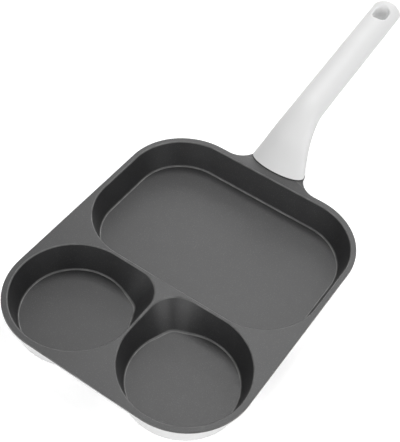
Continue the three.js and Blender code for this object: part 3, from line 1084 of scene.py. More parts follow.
@dataclass
class Fixing:
    """The screw with its washers, on an axis square to the handle's rise.

    Attributes:
        height: Where the axis meets the rise, along it.
        diameter: The screw's thread.
        pitch: The thread's pitch.
        thread_depth: The thread's depth.
        head: Diameter of the head.
        head_height: Height of the head.
        recess: Width across the cross recess.
        recess_slot: Width of one of its slots.
        recess_depth: Depth of the recess.
        washer: Diameter of the flat washer.
        washer_thickness: Its thickness.
        washer_bevel: Bevel of its edges.
        lock: Diameter of the split washer.
        lock_thickness: Its thickness.
        lock_split: Half the angle of its split.
        seat: Thickness of the handle's seat for the washers.
        gap: Clearance between the pieces.
        clearance: Clearance round the screw.
        counterbore: Clearance round the flat washer.
        tip_room: From the screw's tip to the tang's upper face.
        point_turns: Length of the screw's point, in turns of the thread.
        point_share: Share of the radius that is left at the tip.
        thread_rings: Rings along one turn of the thread.
        thread_sides: Points round a ring.
        dome_steps: Steps up the head's dome.
        segments: Steps of a full turn.
        crease: Edges sharper than this stay sharp, in degrees.
    """

    height: float = 16.5 * MM
    diameter: float = 5 * MM
    pitch: float = 0.8 * MM
    thread_depth: float = 0.43 * MM
    head: float = 9 * MM
    head_height: float = 2 * MM
    recess: float = 5 * MM
    recess_slot: float = 1 * MM
    recess_depth: float = 1.4 * MM
    washer: float = 10 * MM
    washer_thickness: float = 0.7 * MM
    washer_bevel: float = 0.08 * MM
    lock: float = 8.6 * MM
    lock_thickness: float = 1 * MM
    lock_split: float = math.radians(12)
    seat: float = 1.8 * MM
    gap: float = 0.3 * MM
    clearance: float = 0.35 * MM
    counterbore: float = 0.5 * MM
    tip_room: float = 0.6 * MM
    point_turns: float = 2.0
    point_share: float = 0.7
    thread_rings: int = 8
    thread_sides: int = 32
    dome_steps: int = 8
    segments: int = 48
    crease: float = 35

    def place_on(self, handle: "Handle") -> None:
        """Sets the axis and the heights along it, from the handle's spine towards its underside.

        Args:
            handle: The handle that the screw holds.
        """
        y, z = handle.rise(self.height)
        self.frame = Matrix.Translation((0, y, z)) @ Matrix.Rotation(handle.rise_angle, 4, "X")
        crown, belly = handle.tang_reach()
        self.seat_face = -(belly + handle.socket_clearance + self.seat)
        self.washer_face = self.seat_face - self.gap - self.washer_thickness
        self.lock_face = self.washer_face - self.gap - self.lock_thickness
        self.head_seat = self.lock_face - self.gap
        self.head_face = self.head_seat - self.head_height
        self.tip = crown - self.tip_room

    def bar(self, name: str, diameter: float, low: float, high: float) -> Piece:
        """Makes a round bar on the axis between two heights."""
        radius = diameter / 2
        return lathe(name, [(0, low), (radius, low), (radius, high), (0, high)], self.segments, self.frame)

    def bore(self, reach: tuple[float, float]) -> Piece:
        """Makes the tool that bores the tang.

        Args:
            reach: The tang's thickness above and below the spine.

        Returns:
            The tool.
        """
        crown, belly = reach
        return self.bar("bore", self.diameter + 2 * self.clearance, -belly - self.seat, crown + self.seat)

    def seat_tools(self, handle: "Handle") -> list[Piece]:
        """Makes the tools that cut the counterbore and the screw's hole in the handle.

        Args:
            handle: The handle.

        Returns:
            The two tools.
        """
        below = -handle.mouth_belly - 2 * self.seat
        belly = handle.tang_reach()[1]
        return [
            self.bar("counterbore", self.washer + 2 * self.counterbore, below, self.seat_face),
            self.bar("screw_hole", self.diameter + 2 * self.clearance, below, -belly),
        ]

    def thread_tree(self, finish: bpy.types.Material) -> SizeTree:
        """Builds the tree that winds a thread onto a bar.

        Args:
            finish: The screw's material.

        Returns:
            The tree, for a bar that stands along Z from the origin.
        """
        length = self.tip - self.head_seat
        made = SizeTree("wound_thread", {
            "Length": length,
            "Major radius": self.diameter / 2,
            "Depth": self.thread_depth,
            "Pitch": self.pitch,
            "Point": self.point_turns * self.pitch,
            "Point share": self.point_share,
            "Rings": round(length / self.pitch * self.thread_rings),
            "Sides": self.thread_sides,
        }, finish)
        tree, given = made.tree, made.given
        end = add_node(tree, "ShaderNodeCombineXYZ", {"Z": given["Length"]})
        line = add_node(tree, "GeometryNodeCurvePrimitiveLine", {"End": end})
        rail = add_node(tree, "GeometryNodeResampleCurve", {"Curve": line, "Count": given["Rings"]})
        circle = add_node(tree, "GeometryNodeCurvePrimitiveCircle", {
            "Resolution": given["Sides"],
            "Radius": 1.0,
        })
        bar = add_node(tree, "GeometryNodeCurveToMesh", {
            "Curve": rail,
            "Profile Curve": circle,
            "Fill Caps": True,
        })
        spot = add_node(tree, "GeometryNodeInputPosition")
        at = add_node(tree, "ShaderNodeSeparateXYZ", {0: spot}).outputs
        angle = add_node(tree, "ShaderNodeMath", {0: at["Y"], 1: at["X"]}, operation="ARCTAN2")
        turn = add_node(tree, "ShaderNodeMath", {0: angle, 1: 2 * math.pi}, operation="DIVIDE")
        climb = add_node(tree, "ShaderNodeMath", {0: at["Z"], 1: given["Pitch"]}, operation="DIVIDE")
        phase = add_node(tree, "ShaderNodeMath", {0: climb, 1: turn}, operation="SUBTRACT")
        flank = add_node(tree, "ShaderNodeMath", {0: phase, 1: 0.5}, operation="PINGPONG")
        groove = add_node(tree, "ShaderNodeMath", {0: flank, 1: 2.0}, operation="MULTIPLY")
        cut = add_node(tree, "ShaderNodeMath", {0: groove, 1: given["Depth"]}, operation="MULTIPLY")
        threaded = add_node(tree, "ShaderNodeMath", {0: given["Major radius"], 1: cut}, operation="SUBTRACT")
        left = add_node(tree, "ShaderNodeMath", {0: given["Length"], 1: at["Z"]}, operation="SUBTRACT")
        near = add_node(tree, "ShaderNodeMath", {0: left, 1: given["Point"]}, operation="DIVIDE")
        point = add_node(tree, "ShaderNodeMapRange", {"Value": near, "To Min": given["Point share"]})
        radius = add_node(tree, "ShaderNodeMath", {0: threaded, 1: point}, operation="MULTIPLY")
        x = add_node(tree, "ShaderNodeMath", {0: at["X"], 1: radius}, operation="MULTIPLY")
        y = add_node(tree, "ShaderNodeMath", {0: at["Y"], 1: radius}, operation="MULTIPLY")
        place = add_node(tree, "ShaderNodeCombineXYZ", {"X": x, "Y": y, "Z": at["Z"]})
        made.close(add_node(tree, "GeometryNodeSetPosition", {"Geometry": bar, "Position": place}))
        return made

    def head_solid(self) -> Piece:
        """Makes the domed head with its cross recess.

        Returns:
            The head, in place.
        """
        radius = self.head / 2
        dome = [
            (radius * math.sin(a), self.head_face + self.head_height / 2 * (1 - math.cos(a)))
            for a in smooth_steps(self.dome_steps)
        ]
        neck = self.diameter / 2 - self.thread_depth
        profile = dome + [(radius, self.head_seat), (neck, self.head_seat), (0, self.head_seat)]
        head = lathe("screw_head", profile, self.segments, self.frame)
        for turn in (0, QUARTER):
            spin = self.frame @ Matrix.Rotation(turn, 4, "Z")
            corners = []
            for depth, width in ((-self.gap, self.recess), (self.recess_depth, self.recess / 2)):
                for across, along in ((-1, -1), (1, -1), (1, 1), (-1, 1)):
                    x, y = across * width / 2, along * self.recess_slot / 2
                    corners.append(spin @ Vector((x, y, self.head_face + depth)))
            rings = [np.array(corners[:4]), np.array(corners[4:])]
            combine(head, Combine.CUT, loft("slot", rings))
        return head

    def split_washer(self) -> Piece:
        """Makes the spring washer: a ring cut through, its ends sprung apart.

        Returns:
            The washer, in place.
        """
        inner = self.diameter / 2 + self.clearance
        outer = self.lock / 2
        spring = self.gap / 2
        rings = []
        for angle in np.linspace(self.lock_split, 2 * math.pi - self.lock_split, self.segments):
            rise = spring * (angle / math.pi - 1)
            low = self.lock_face + rise
            high = low + self.lock_thickness
            way = angle + QUARTER
            rings.append(np.array([
                self.frame @ Vector((r * math.cos(way), r * math.sin(way), h))
                for r, h in ((inner, low), (inner, high), (outer, high), (outer, low))
            ]))
        return loft("split_washer", rings)

    def build(self) -> dict[str, Piece]:
        """Makes the screw and its washers.

        Returns:
            The pieces by the node that each stands for.
        """
        screw = mesh_object("cross_head_screw", [], [])
        self.thread_tree(ZINC_STEEL.material()).run(screw)
        screw.data.transform(self.frame @ Matrix.Translation((0, 0, self.head_seat)))
        clean(screw)
        combine(screw, Combine.JOIN, self.head_solid())
        bevel = self.washer_bevel
        inner, outer = self.diameter / 2 + self.clearance, self.washer / 2
        low, high = self.washer_face, self.washer_face + self.washer_thickness
        flat = lathe("flat_ring_washer", [
            (inner, low + bevel),
            (inner + bevel, low),
            (outer - bevel, low),
            (outer, low + bevel),
            (outer, high - bevel),
            (outer - bevel, high),
            (inner + bevel, high),
            (inner, high - bevel),
        ], self.segments, self.frame)
        lock = self.split_washer()
        clean(lock)
        return {"handle_screw": screw, "flat_washer": flat, "lock_washer": lock}

    def dress(self, pieces: dict[str, Piece]) -> None:
        """Gives the screw and washers their plating.

        Args:
            pieces: The pieces by the node that each stands for.
        """
        for node, piece in pieces.items():
            coat(piece, ZINC_STEEL, self.crease)
            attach(piece, BODY)
            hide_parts(node)


@dataclass
class Handle:
    """The moulded handle: a steep rise over the tang, a bend, and the grip with its hanging hole.

    Attributes:
        foot_y: Where the spine meets the deck's level.
        foot_z: That level.
        rise_angle: Slope of the rise.
        grip_angle: Slope of the grip.
        rise_length: Length of the straight rise.
        bend_radius: Radius of the bend.
        grip_length: Length of the grip.
        mouth_width: Width at the foot.
        grip_width: Width of the grip.
        width_flare: Length over which the width changes.
        flare_power: How fast the width and depth change.
        mouth_crown: Height above the spine at the foot.
        grip_crown: Height above the spine in the grip.
        mouth_belly: Depth below the spine at the foot.
        grip_belly: Depth below the spine in the grip.
        depth_flare: Length over which the depth changes.
        squareness: Power of the section's oval; 2 is an ellipse.
        tip_round: Length of the rounded tip.
        tip_thinning: Share of the depth that the tip loses.
        tip_end: Share of the rounded tip at which the skin ends in a cap.
        tip_easing: Power by which the rings lie closer towards the tip.
        mouth_round: Radius of the mouth's edge.
        hole_width: Width of the hanging hole.
        hole_length: Its length.
        hole_corner: Radius of its two corners.
        hole_to_tip: From the hole to the tip.
        hole_round: Radius of the hole's upper edge.
        hole_under_round: Radius of its lower edge.
        lip_turn: How far round such an edge goes before it runs out straight.
        seal: Thickness of the neck's seal.
        seal_inset: How far the seal lies inside the mouth's edge.
        seat_gap: Gap above and below the seal before it is squeezed.
        seal_gap: What the squeezed seal leaves of that gap.
        tang_width: Width of the tang.
        tang_thickness: Thickness of the tang.
        tang_drop: How far the tang lies below the spine.
        tang_squareness: Power of the tang's section.
        tang_length: Length of the tang above the deck's level.
        socket_clearance: Clearance round the tang.
        rings: Rings along the handle.
        sides: Points round a ring.
        lip_steps: Steps round an edge of the hole.
        hole_corner_steps: Steps round a corner of the hole.
        hole_end_steps: Steps round its half round end.
        edge_steps: Steps round the edges of the mouth and the seal.
        edge_bend: Edges there that bend more than this are rounded.
        flat_within: How far from a flat face's height its edges may lie.
        crease: Edges sharper than this stay sharp, in degrees.
        fixing: The screw that holds the handle.
    """

    foot_y: float = 131 * MM
    foot_z: float = 25.5 * MM
    rise_angle: float = math.radians(58)
    grip_angle: float = math.radians(9.6)
    rise_length: float = 18.7 * MM
    bend_radius: float = 47.7 * MM
    grip_length: float = 130.8 * MM
    mouth_width: float = 47.7 * MM
    grip_width: float = 25.3 * MM
    width_flare: float = 53.3 * MM
    flare_power: float = 1.45
    mouth_crown: float = 8 * MM
    grip_crown: float = 8.78 * MM
    mouth_belly: float = 12 * MM
    grip_belly: float = 8.2 * MM
    depth_flare: float = 73 * MM
    squareness: float = 2.0
    tip_round: float = 6.4 * MM
    tip_thinning: float = 0.6
    tip_end: float = 0.999
    tip_easing: float = 1.7
    mouth_round: float = 0.5 * MM
    hole_width: float = 12.2 * MM
    hole_length: float = 15.4 * MM
    hole_corner: float = 4.6 * MM
    hole_to_tip: float = 10.3 * MM
    hole_round: float = 1.6 * MM
    hole_under_round: float = 0.6 * MM
    lip_turn: float = math.radians(78)
    seal: float = 0.8 * MM
    seal_inset: float = 0.5 * MM
    seat_gap: float = 0.05 * MM
    seal_gap: float = 0.02 * MM
    tang_width: float = 26 * MM
    tang_thickness: float = 6 * MM
    tang_drop: float = 0.6 * MM
    tang_squareness: float = 4.0
    tang_length: float = 24 * MM
    socket_clearance: float = 0.35 * MM
    rings: int = 180
    sides: int = 80
    lip_steps: int = 6
    hole_corner_steps: int = 10
    hole_end_steps: int = 28
    edge_steps: int = 4
    edge_bend: float = math.radians(20)
    flat_within: float = 0.001 * MM
    crease: float = 35
    fixing: Fixing = field(default_factory=Fixing)

    def __post_init__(self) -> None:
        """Works out the sizes that follow from the driving ones."""
        self.bend_length = self.bend_radius * (self.rise_angle - self.grip_angle)
        self.spine_length = self.rise_length + self.bend_length + self.grip_length
        self.mouth_z = self.foot_z + self.seal + 2 * self.seat_gap
        self.seal_round = self.seal / 3
        self.fixing.place_on(self)

    def mouth(self) -> tuple[float, float]:
        """Gives the half width and the backward reach of the section at the deck's level."""
        return self.mouth_width / 2, self.mouth_belly / math.sin(self.rise_angle)

    def tang_reach(self) -> tuple[float, float]:
        """Gives the tang's thickness above and below the spine."""
        half = self.tang_thickness / 2
        return half - self.tang_drop, half + self.tang_drop

    def rise(self, along: float) -> tuple[float, float]:
        """Follows the straight line of the rise, which the tang and the screw keep to."""
        y = self.foot_y + along * math.cos(self.rise_angle)
        return y, self.foot_z + along * math.sin(self.rise_angle)

    def spine(self, along: float) -> tuple[float, float, float]:
        """Follows the spine from the deck's level.

        Args:
            along: The way along the spine.

        Returns:
            The place along Y and Z, and the slope there.
        """
        y, z = self.rise(min(along, self.rise_length))
        bend = min(max(along - self.rise_length, 0.0), self.bend_length)
        grip = max(along - self.rise_length - self.bend_length, 0.0)
        slope = self.rise_angle - bend / self.bend_radius
        sine, cosine = math.sin(self.rise_angle), math.cos(self.rise_angle)
        y += self.bend_radius * (sine - math.sin(slope)) + grip * math.cos(self.grip_angle)
        z += self.bend_radius * (math.cos(slope) - cosine) + grip * math.sin(self.grip_angle)
        return y, z, slope

    def tang_bar(self, start: float, end: float, clearance: float) -> Piece:
        """Makes the tang, or with a clearance the socket for it.

        Args:
            start: Where it starts along the rise.
            end: Where it ends.
            clearance: How far it is grown.

        Returns:
            The bar.
        """
        crown, belly = self.tang_reach()
        half = self.tang_width / 2 + clearance
        angle = np.linspace(0, -2 * math.pi, self.sides, endpoint=False)
        power = 2 / self.tang_squareness
        across = half * np.sign(np.cos(angle)) * np.abs(np.cos(angle)) ** power
        up = np.sign(np.sin(angle)) * np.abs(np.sin(angle)) ** power
        up = np.where(up > 0, up * (crown + clearance), up * (belly + clearance))
        sine, cosine = math.sin(self.rise_angle), math.cos(self.rise_angle)
        rings = []
        for along in (start, end):
            y, z = self.rise(along)
            rings.append(np.column_stack([across, y - up * sine, z + up * cosine]))
        return loft("tang_bar", rings)

    def skin_tree(self, finish: bpy.types.Material, inset: float) -> SizeTree:
        """Builds the tree that sweeps the handle's oval section along its spine.

        Args:
            finish: The handle's material.
            inset: How far the section is drawn in.

        Returns:
            The tree.
        """
        made = SizeTree("swept_handle", {
            "Foot Y": self.foot_y,
            "Foot Z": self.foot_z,
            "Lead in": self.mouth_belly,
            "Spine length": self.spine_length,
            "Rise angle": self.rise_angle,
            "Grip angle": self.grip_angle,
            "Rise length": self.rise_length,
            "Bend radius": self.bend_radius,
            "Bend length": self.bend_length,
            "Mouth half width": self.mouth_width / 2 - inset,
            "Grip half width": self.grip_width / 2 - inset,
            "Width flare": self.width_flare,
            "Mouth crown": self.mouth_crown - inset,
            "Grip crown": self.grip_crown - inset,
            "Mouth belly": self.mouth_belly - inset,
            "Grip belly": self.grip_belly - inset,
            "Depth flare": self.depth_flare,
            "Flare power": self.flare_power,
            "Section power": 2 / self.squareness,
            "Tip round": self.tip_round,
            "Tip thinning": self.tip_thinning,
            "Tip end": self.tip_end,
            "Tip easing": self.tip_easing,
            "Rings": self.rings,
            "Sides": self.sides,
        }, finish)
        tree, size = made.tree, made.given

        # A unit tube along Z, whose points are then moved to their place on the handle.
        line = add_node(tree, "GeometryNodeCurvePrimitiveLine", {"End": (0.0, 0.0, 1.0)})
        rail = add_node(tree, "GeometryNodeResampleCurve", {"Curve": line, "Count": size["Rings"]})
        circle = add_node(tree, "GeometryNodeCurvePrimitiveCircle", {
            "Resolution": size["Sides"],
            "Radius": 1.0,
        })
        tube = add_node(tree, "GeometryNodeCurveToMesh", {
            "Curve": rail,
            "Profile Curve": circle,
            "Fill Caps": True,
        })
        spot = add_node(tree, "GeometryNodeInputPosition")
        unit = add_node(tree, "ShaderNodeSeparateXYZ", {0: spot}).outputs

        # The way along the spine, with closer rings towards the tip.
        left = add_node(tree, "ShaderNodeMath", {0: 1.0, 1: unit["Z"]}, operation="SUBTRACT")
        eased = add_node(tree, "ShaderNodeMath", {0: left, 1: size["Tip easing"]}, operation="POWER")
        share = add_node(tree, "ShaderNodeMath", {0: 1.0, 1: eased}, operation="SUBTRACT")
        reach = add_node(tree, "ShaderNodeMath", {0: size["Spine length"], 1: size["Lead in"]})
        way = add_node(tree, "ShaderNodeMath", {0: share, 1: reach}, operation="MULTIPLY")
        along = add_node(tree, "ShaderNodeMath", {0: way, 1: size["Lead in"]}, operation="SUBTRACT")

        # The spine: rise, bend and grip.
        rise = add_node(tree, "ShaderNodeMath", {0: along, 1: size["Rise length"]}, operation="MINIMUM")
        past = add_node(tree, "ShaderNodeMath", {0: along, 1: size["Rise length"]}, operation="SUBTRACT")
        bend = add_node(tree, "ShaderNodeClamp", {"Value": past, "Min": 0.0, "Max": size["Bend length"]})
        on = add_node(tree, "ShaderNodeMath", {0: past, 1: size["Bend length"]}, operation="SUBTRACT")
        grip = add_node(tree, "ShaderNodeMath", {0: on, 1: 0.0}, operation="MAXIMUM")
        turned = add_node(tree, "ShaderNodeMath", {0: bend, 1: size["Bend radius"]}, operation="DIVIDE")
        slope = add_node(tree, "ShaderNodeMath", {0: size["Rise angle"], 1: turned}, operation="SUBTRACT")
        sines, cosines = [], []
        for angle in (slope, size["Rise angle"], size["Grip angle"]):
            sines.append(add_node(tree, "ShaderNodeMath", {0: angle}, operation="SINE"))
            cosines.append(add_node(tree, "ShaderNodeMath", {0: angle}, operation="COSINE"))
        slope_sin, rise_sin, grip_sin = sines
        slope_cos, rise_cos, grip_cos = cosines
        bend_y = add_node(tree, "ShaderNodeMath", {0: rise_sin, 1: slope_sin}, operation="SUBTRACT")
        bend_z = add_node(tree, "ShaderNodeMath", {0: slope_cos, 1: rise_cos}, operation="SUBTRACT")
        y, z = size["Foot Y"], size["Foot Z"]
        legs = (
            (rise, rise_cos, rise_sin),
            (size["Bend radius"], bend_y, bend_z),
            (grip, grip_cos, grip_sin),
        )
        for leg, leg_y, leg_z in legs:
            y = add_node(tree, "ShaderNodeMath", {0: leg, 1: leg_y, 2: y}, operation="MULTIPLY_ADD")
            z = add_node(tree, "ShaderNodeMath", {0: leg, 1: leg_z, 2: z}, operation="MULTIPLY_ADD")

        # The section's half width, crown and belly, each flaring towards the mouth.
        flares = {}
        for name in ("Width flare", "Depth flare"):
            gone = add_node(tree, "ShaderNodeMath", {0: along, 1: size[name]}, operation="DIVIDE")
            rest = add_node(tree, "ShaderNodeMath", {0: 1.0, 1: gone}, operation="SUBTRACT")
            held = add_node(tree, "ShaderNodeMath", {0: rest, 1: 0.0}, operation="MAXIMUM")
            flares[name] = add_node(
                tree, "ShaderNodeMath", {0: held, 1: size["Flare power"]}, operation="POWER")
        flare_of = {"half width": "Width flare", "crown": "Depth flare", "belly": "Depth flare"}
        spans = {}
        for name, flare in flare_of.items():
            thin, wide = size[f"Grip {name}"], size[f"Mouth {name}"]
            more = add_node(tree, "ShaderNodeMath", {0: wide, 1: thin}, operation="SUBTRACT")
            spans[name] = add_node(
                tree, "ShaderNodeMath", {0: more, 1: flares[flare], 2: thin}, operation="MULTIPLY_ADD")

        # The tip: the width closes in a round, the depth thins a little.
        to_tip = add_node(tree, "ShaderNodeMath", {0: size["Spine length"], 1: along}, operation="SUBTRACT")
        tip_left = add_node(tree, "ShaderNodeMath", {0: to_tip, 1: size["Tip round"]}, operation="DIVIDE")
        tip_way = add_node(tree, "ShaderNodeMath", {0: 1.0, 1: tip_left}, operation="SUBTRACT")
        tip_part = add_node(tree, "ShaderNodeClamp", {"Value": tip_way, "Min": 0.0, "Max": size["Tip end"]})
        tip_square = add_node(tree, "ShaderNodeMath", {0: tip_part, 1: tip_part}, operation="MULTIPLY")
        tip_rest = add_node(tree, "ShaderNodeMath", {0: 1.0, 1: tip_square}, operation="SUBTRACT")
        tip_width = add_node(tree, "ShaderNodeMath", {0: tip_rest}, operation="SQRT")
        tip_lost = add_node(tree, "ShaderNodeMath", {0: 1.0, 1: tip_width}, operation="SUBTRACT")
        tip_thin = add_node(
            tree, "ShaderNodeMath", {0: tip_lost, 1: size["Tip thinning"]}, operation="MULTIPLY")
        tip_depth = add_node(tree, "ShaderNodeMath", {0: 1.0, 1: tip_thin}, operation="SUBTRACT")

        # The oval: each unit coordinate is raised to the section's power and keeps its sign.
        oval = {}
        for axis in "XY":
            size_of = add_node(tree, "ShaderNodeMath", {0: unit[axis]}, operation="ABSOLUTE")
            bulge = add_node(
                tree, "ShaderNodeMath", {0: size_of, 1: size["Section power"]}, operation="POWER")
            sign = add_node(tree, "ShaderNodeMath", {0: unit[axis]}, operation="SIGN")
            oval[axis] = add_node(tree, "ShaderNodeMath", {0: bulge, 1: sign}, operation="MULTIPLY")
        half = add_node(tree, "ShaderNodeMath", {0: spans["half width"], 1: tip_width}, operation="MULTIPLY")
        mirrored = add_node(tree, "ShaderNodeMath", {0: half, 1: -1.0}, operation="MULTIPLY")
        x = add_node(tree, "ShaderNodeMath", {0: oval["X"], 1: mirrored}, operation="MULTIPLY")
        above = add_node(tree, "ShaderNodeMath", {0: oval["Y"], 1: 0.0}, operation="GREATER_THAN")
        extra = add_node(tree, "ShaderNodeMath", {0: spans["crown"], 1: spans["belly"]}, operation="SUBTRACT")
        depth = add_node(
            tree, "ShaderNodeMath", {0: extra, 1: above, 2: spans["belly"]}, operation="MULTIPLY_ADD")
        thinned = add_node(tree, "ShaderNodeMath", {0: depth, 1: tip_depth}, operation="MULTIPLY")
        up = add_node(tree, "ShaderNodeMath", {0: oval["Y"], 1: thinned}, operation="MULTIPLY")
        up_y = add_node(tree, "ShaderNodeMath", {0: up, 1: slope_sin}, operation="MULTIPLY")
        out_y = add_node(tree, "ShaderNodeMath", {0: y, 1: up_y}, operation="SUBTRACT")
        out_z = add_node(tree, "ShaderNodeMath", {0: up, 1: slope_cos, 2: z}, operation="MULTIPLY_ADD")
        place = add_node(tree, "ShaderNodeCombineXYZ", {"X": x, "Y": out_y, "Z": out_z})
        made.close(add_node(tree, "GeometryNodeSetPosition", {"Geometry": tube, "Position": place}))
        return made

    def skin(self, name: str, inset: float) -> Piece:
        """Makes the handle's outside as a closed solid.

        Args:
            name: The object's name.
            inset: How far the skin is drawn in.

        Returns:
            The solid, reaching below the mouth.
        """
        made = mesh_object(name, [], [])
        self.skin_tree(HANDLE_COAT.material(), inset).run(made)
        clean(made)
        return made

    def hole_outline(self, grow: float) -> np.ndarray:
        """Draws the hanging hole: straight with round corners towards the pan, half round towards the tip.

        Args:
            grow: How far the outline is grown.

        Returns:
            The points, across and along the grip from the hole's middle.
        """
        half, far = self.hole_width / 2, self.hole_length / 2
        x, y = half - self.hole_corner, self.hole_corner - far
        corner, end = self.hole_corner + grow, half + grow
        steps = smooth_steps(self.hole_corner_steps)
        return np.concatenate([
            arc((x, y), (corner, corner), steps - QUARTER),
            arc((0.0, far - half), (end, end), smooth_steps(self.hole_end_steps, math.pi)),
            arc((-x, y), (corner, corner), steps + math.pi),
        ])

    def hole_lip(self, radius: float) -> list[tuple[float, float]]:
        """Draws a rounded edge of the hanging hole.

        Args:
            radius: The edge's radius.

        Returns:
            The outline's growth and the height over the skin, from the bore up and out past the skin.
        """
        lip = [(grow, -left) for grow, left in rounding(radius, self.lip_steps, self.lip_turn)]
        lip.append((lip[-1][0] + radius, lip[-1][1] + radius / math.tan(self.lip_turn)))
        lip.append((lip[-1][0], self.hole_length))
        return lip

    def hanging_hole(self) -> Piece:
        """Makes the tool that cuts the hanging hole with a rounded edge above and below.

        Returns:
            The tool.
        """
        middle = self.spine_length - self.hole_to_tip - self.hole_length / 2
        y, z, slope = self.spine(middle)
        frame_here = np.array(Matrix.Translation((0, y, z)) @ Matrix.Rotation(slope, 4, "X"))
        half = self.grip_width / 2
        under, over = self.hole_lip(self.hole_under_round), self.hole_lip(self.hole_round)
        rings = []
        for depth, sign, steps in ((self.grip_belly, -1, under[::-1]), (self.grip_crown, 1, over)):
            for grow, height in steps:
                flat = self.hole_outline(grow)
                across = np.minimum(np.abs(flat[:, 0]) / half, 1)
                skin = depth * (1 - across**self.squareness) ** (1 / self.squareness)
                local = np.column_stack([flat, sign * (skin + height), np.ones(len(flat))])
                rings.append((local @ frame_here.T)[:, :3])
        return loft("hanging_hole", rings)

    def below_mouth(self, low: float, high: float) -> Piece:
        """Makes a flat block under the handle's foot.

        Args:
            low: Its lower face.
            high: Its upper face.

        Returns:
            The block.
        """
        x, y = self.mouth_width, 2 * self.mouth_width
        corners = np.array([(-x, -y), (x, -y), (x, y), (-x, y)]) + np.array([0, self.foot_y])
        return loft("block", [ring_at(corners, low), ring_at(corners, high)])

    def round_edge(self, piece: Piece, heights: Sequence[float], radius: float) -> None:
        """Rounds the outer edge of a piece where a flat face at a height meets the skin.

        Args:
            piece: The piece.
            heights: The flat faces' heights.
            radius: The round's radius.
        """
        shape = bmesh.new()
        shape.from_mesh(piece.data)
        reach = self.tang_width / 2 + self.seal
        edges = []
        for edge in shape.edges:
            flat = any(all(abs(v.co.z - z) < self.flat_within for v in edge.verts) for z in heights)
            middle = (edge.verts[0].co + edge.verts[1].co) / 2
            outer = abs(middle.x) > reach or abs(middle.y - self.foot_y) > self.tang_thickness
            if flat and outer and len(edge.link_faces) == 2 and edge.calc_face_angle(0) > self.edge_bend:
                edges.append(edge)
        bmesh.ops.bevel(
            shape,
            geom=edges,
            offset=radius,
            offset_type="OFFSET",
            segments=self.edge_steps,
            profile=0.5,
            affect="EDGES",
            clamp_overlap=True,
        )
        shape.to_mesh(piece.data)
        shape.free()

    def build(self) -> dict[str, Piece]:
        """Makes the handle and the seal under its mouth.

        Returns:
            The pieces by the node that each stands for.
        """
        body = self.skin("moulded_handle", 0)
        socket_end = self.tang_length + self.socket_clearance
        low = self.foot_z - 2 * self.mouth_belly
        combine(body, Combine.CUT, self.below_mouth(low, self.mouth_z))
        self.round_edge(body, [self.mouth_z], self.mouth_round)
        combine(
            body,
            Combine.CUT,
            self.tang_bar(-self.mouth_belly, socket_end, self.socket_clearance),
            *self.fixing.seat_tools(self),
            self.hanging_hole(),
        )
        seal = self.skin("neck_gasket", self.seal_inset)
        bottom, top = self.foot_z + self.seal_gap, self.mouth_z - self.seal_gap
        combine(seal, Combine.KEEP, self.below_mouth(bottom, top))
        self.round_edge(seal, [bottom, top], self.seal_round)
        combine(seal, Combine.CUT, self.tang_bar(-self.mouth_belly, self.tang_length, self.socket_clearance))
        return {"handle": body, "neck_seal": seal}

    def dress(self, pieces: dict[str, Piece]) -> None:
        """Gives the handle and its seal their finish.

        Args:
            pieces: The pieces by the node that each stands for.
        """
        looks = {"handle": (HANDLE_COAT, "handle_phenolic"), "neck_seal": (SILICONE, "seal_rubber")}
        for node, piece in pieces.items():
            finish, slot = looks[node]
            coat(piece, finish, self.crease)
            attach(piece, BODY)
            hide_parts(node)


class Pressing(Enum):
    """What the perforation tree leaves: the punched plate, or the metal pressed through it."""

    PLATE = 0
    STUDS = 1


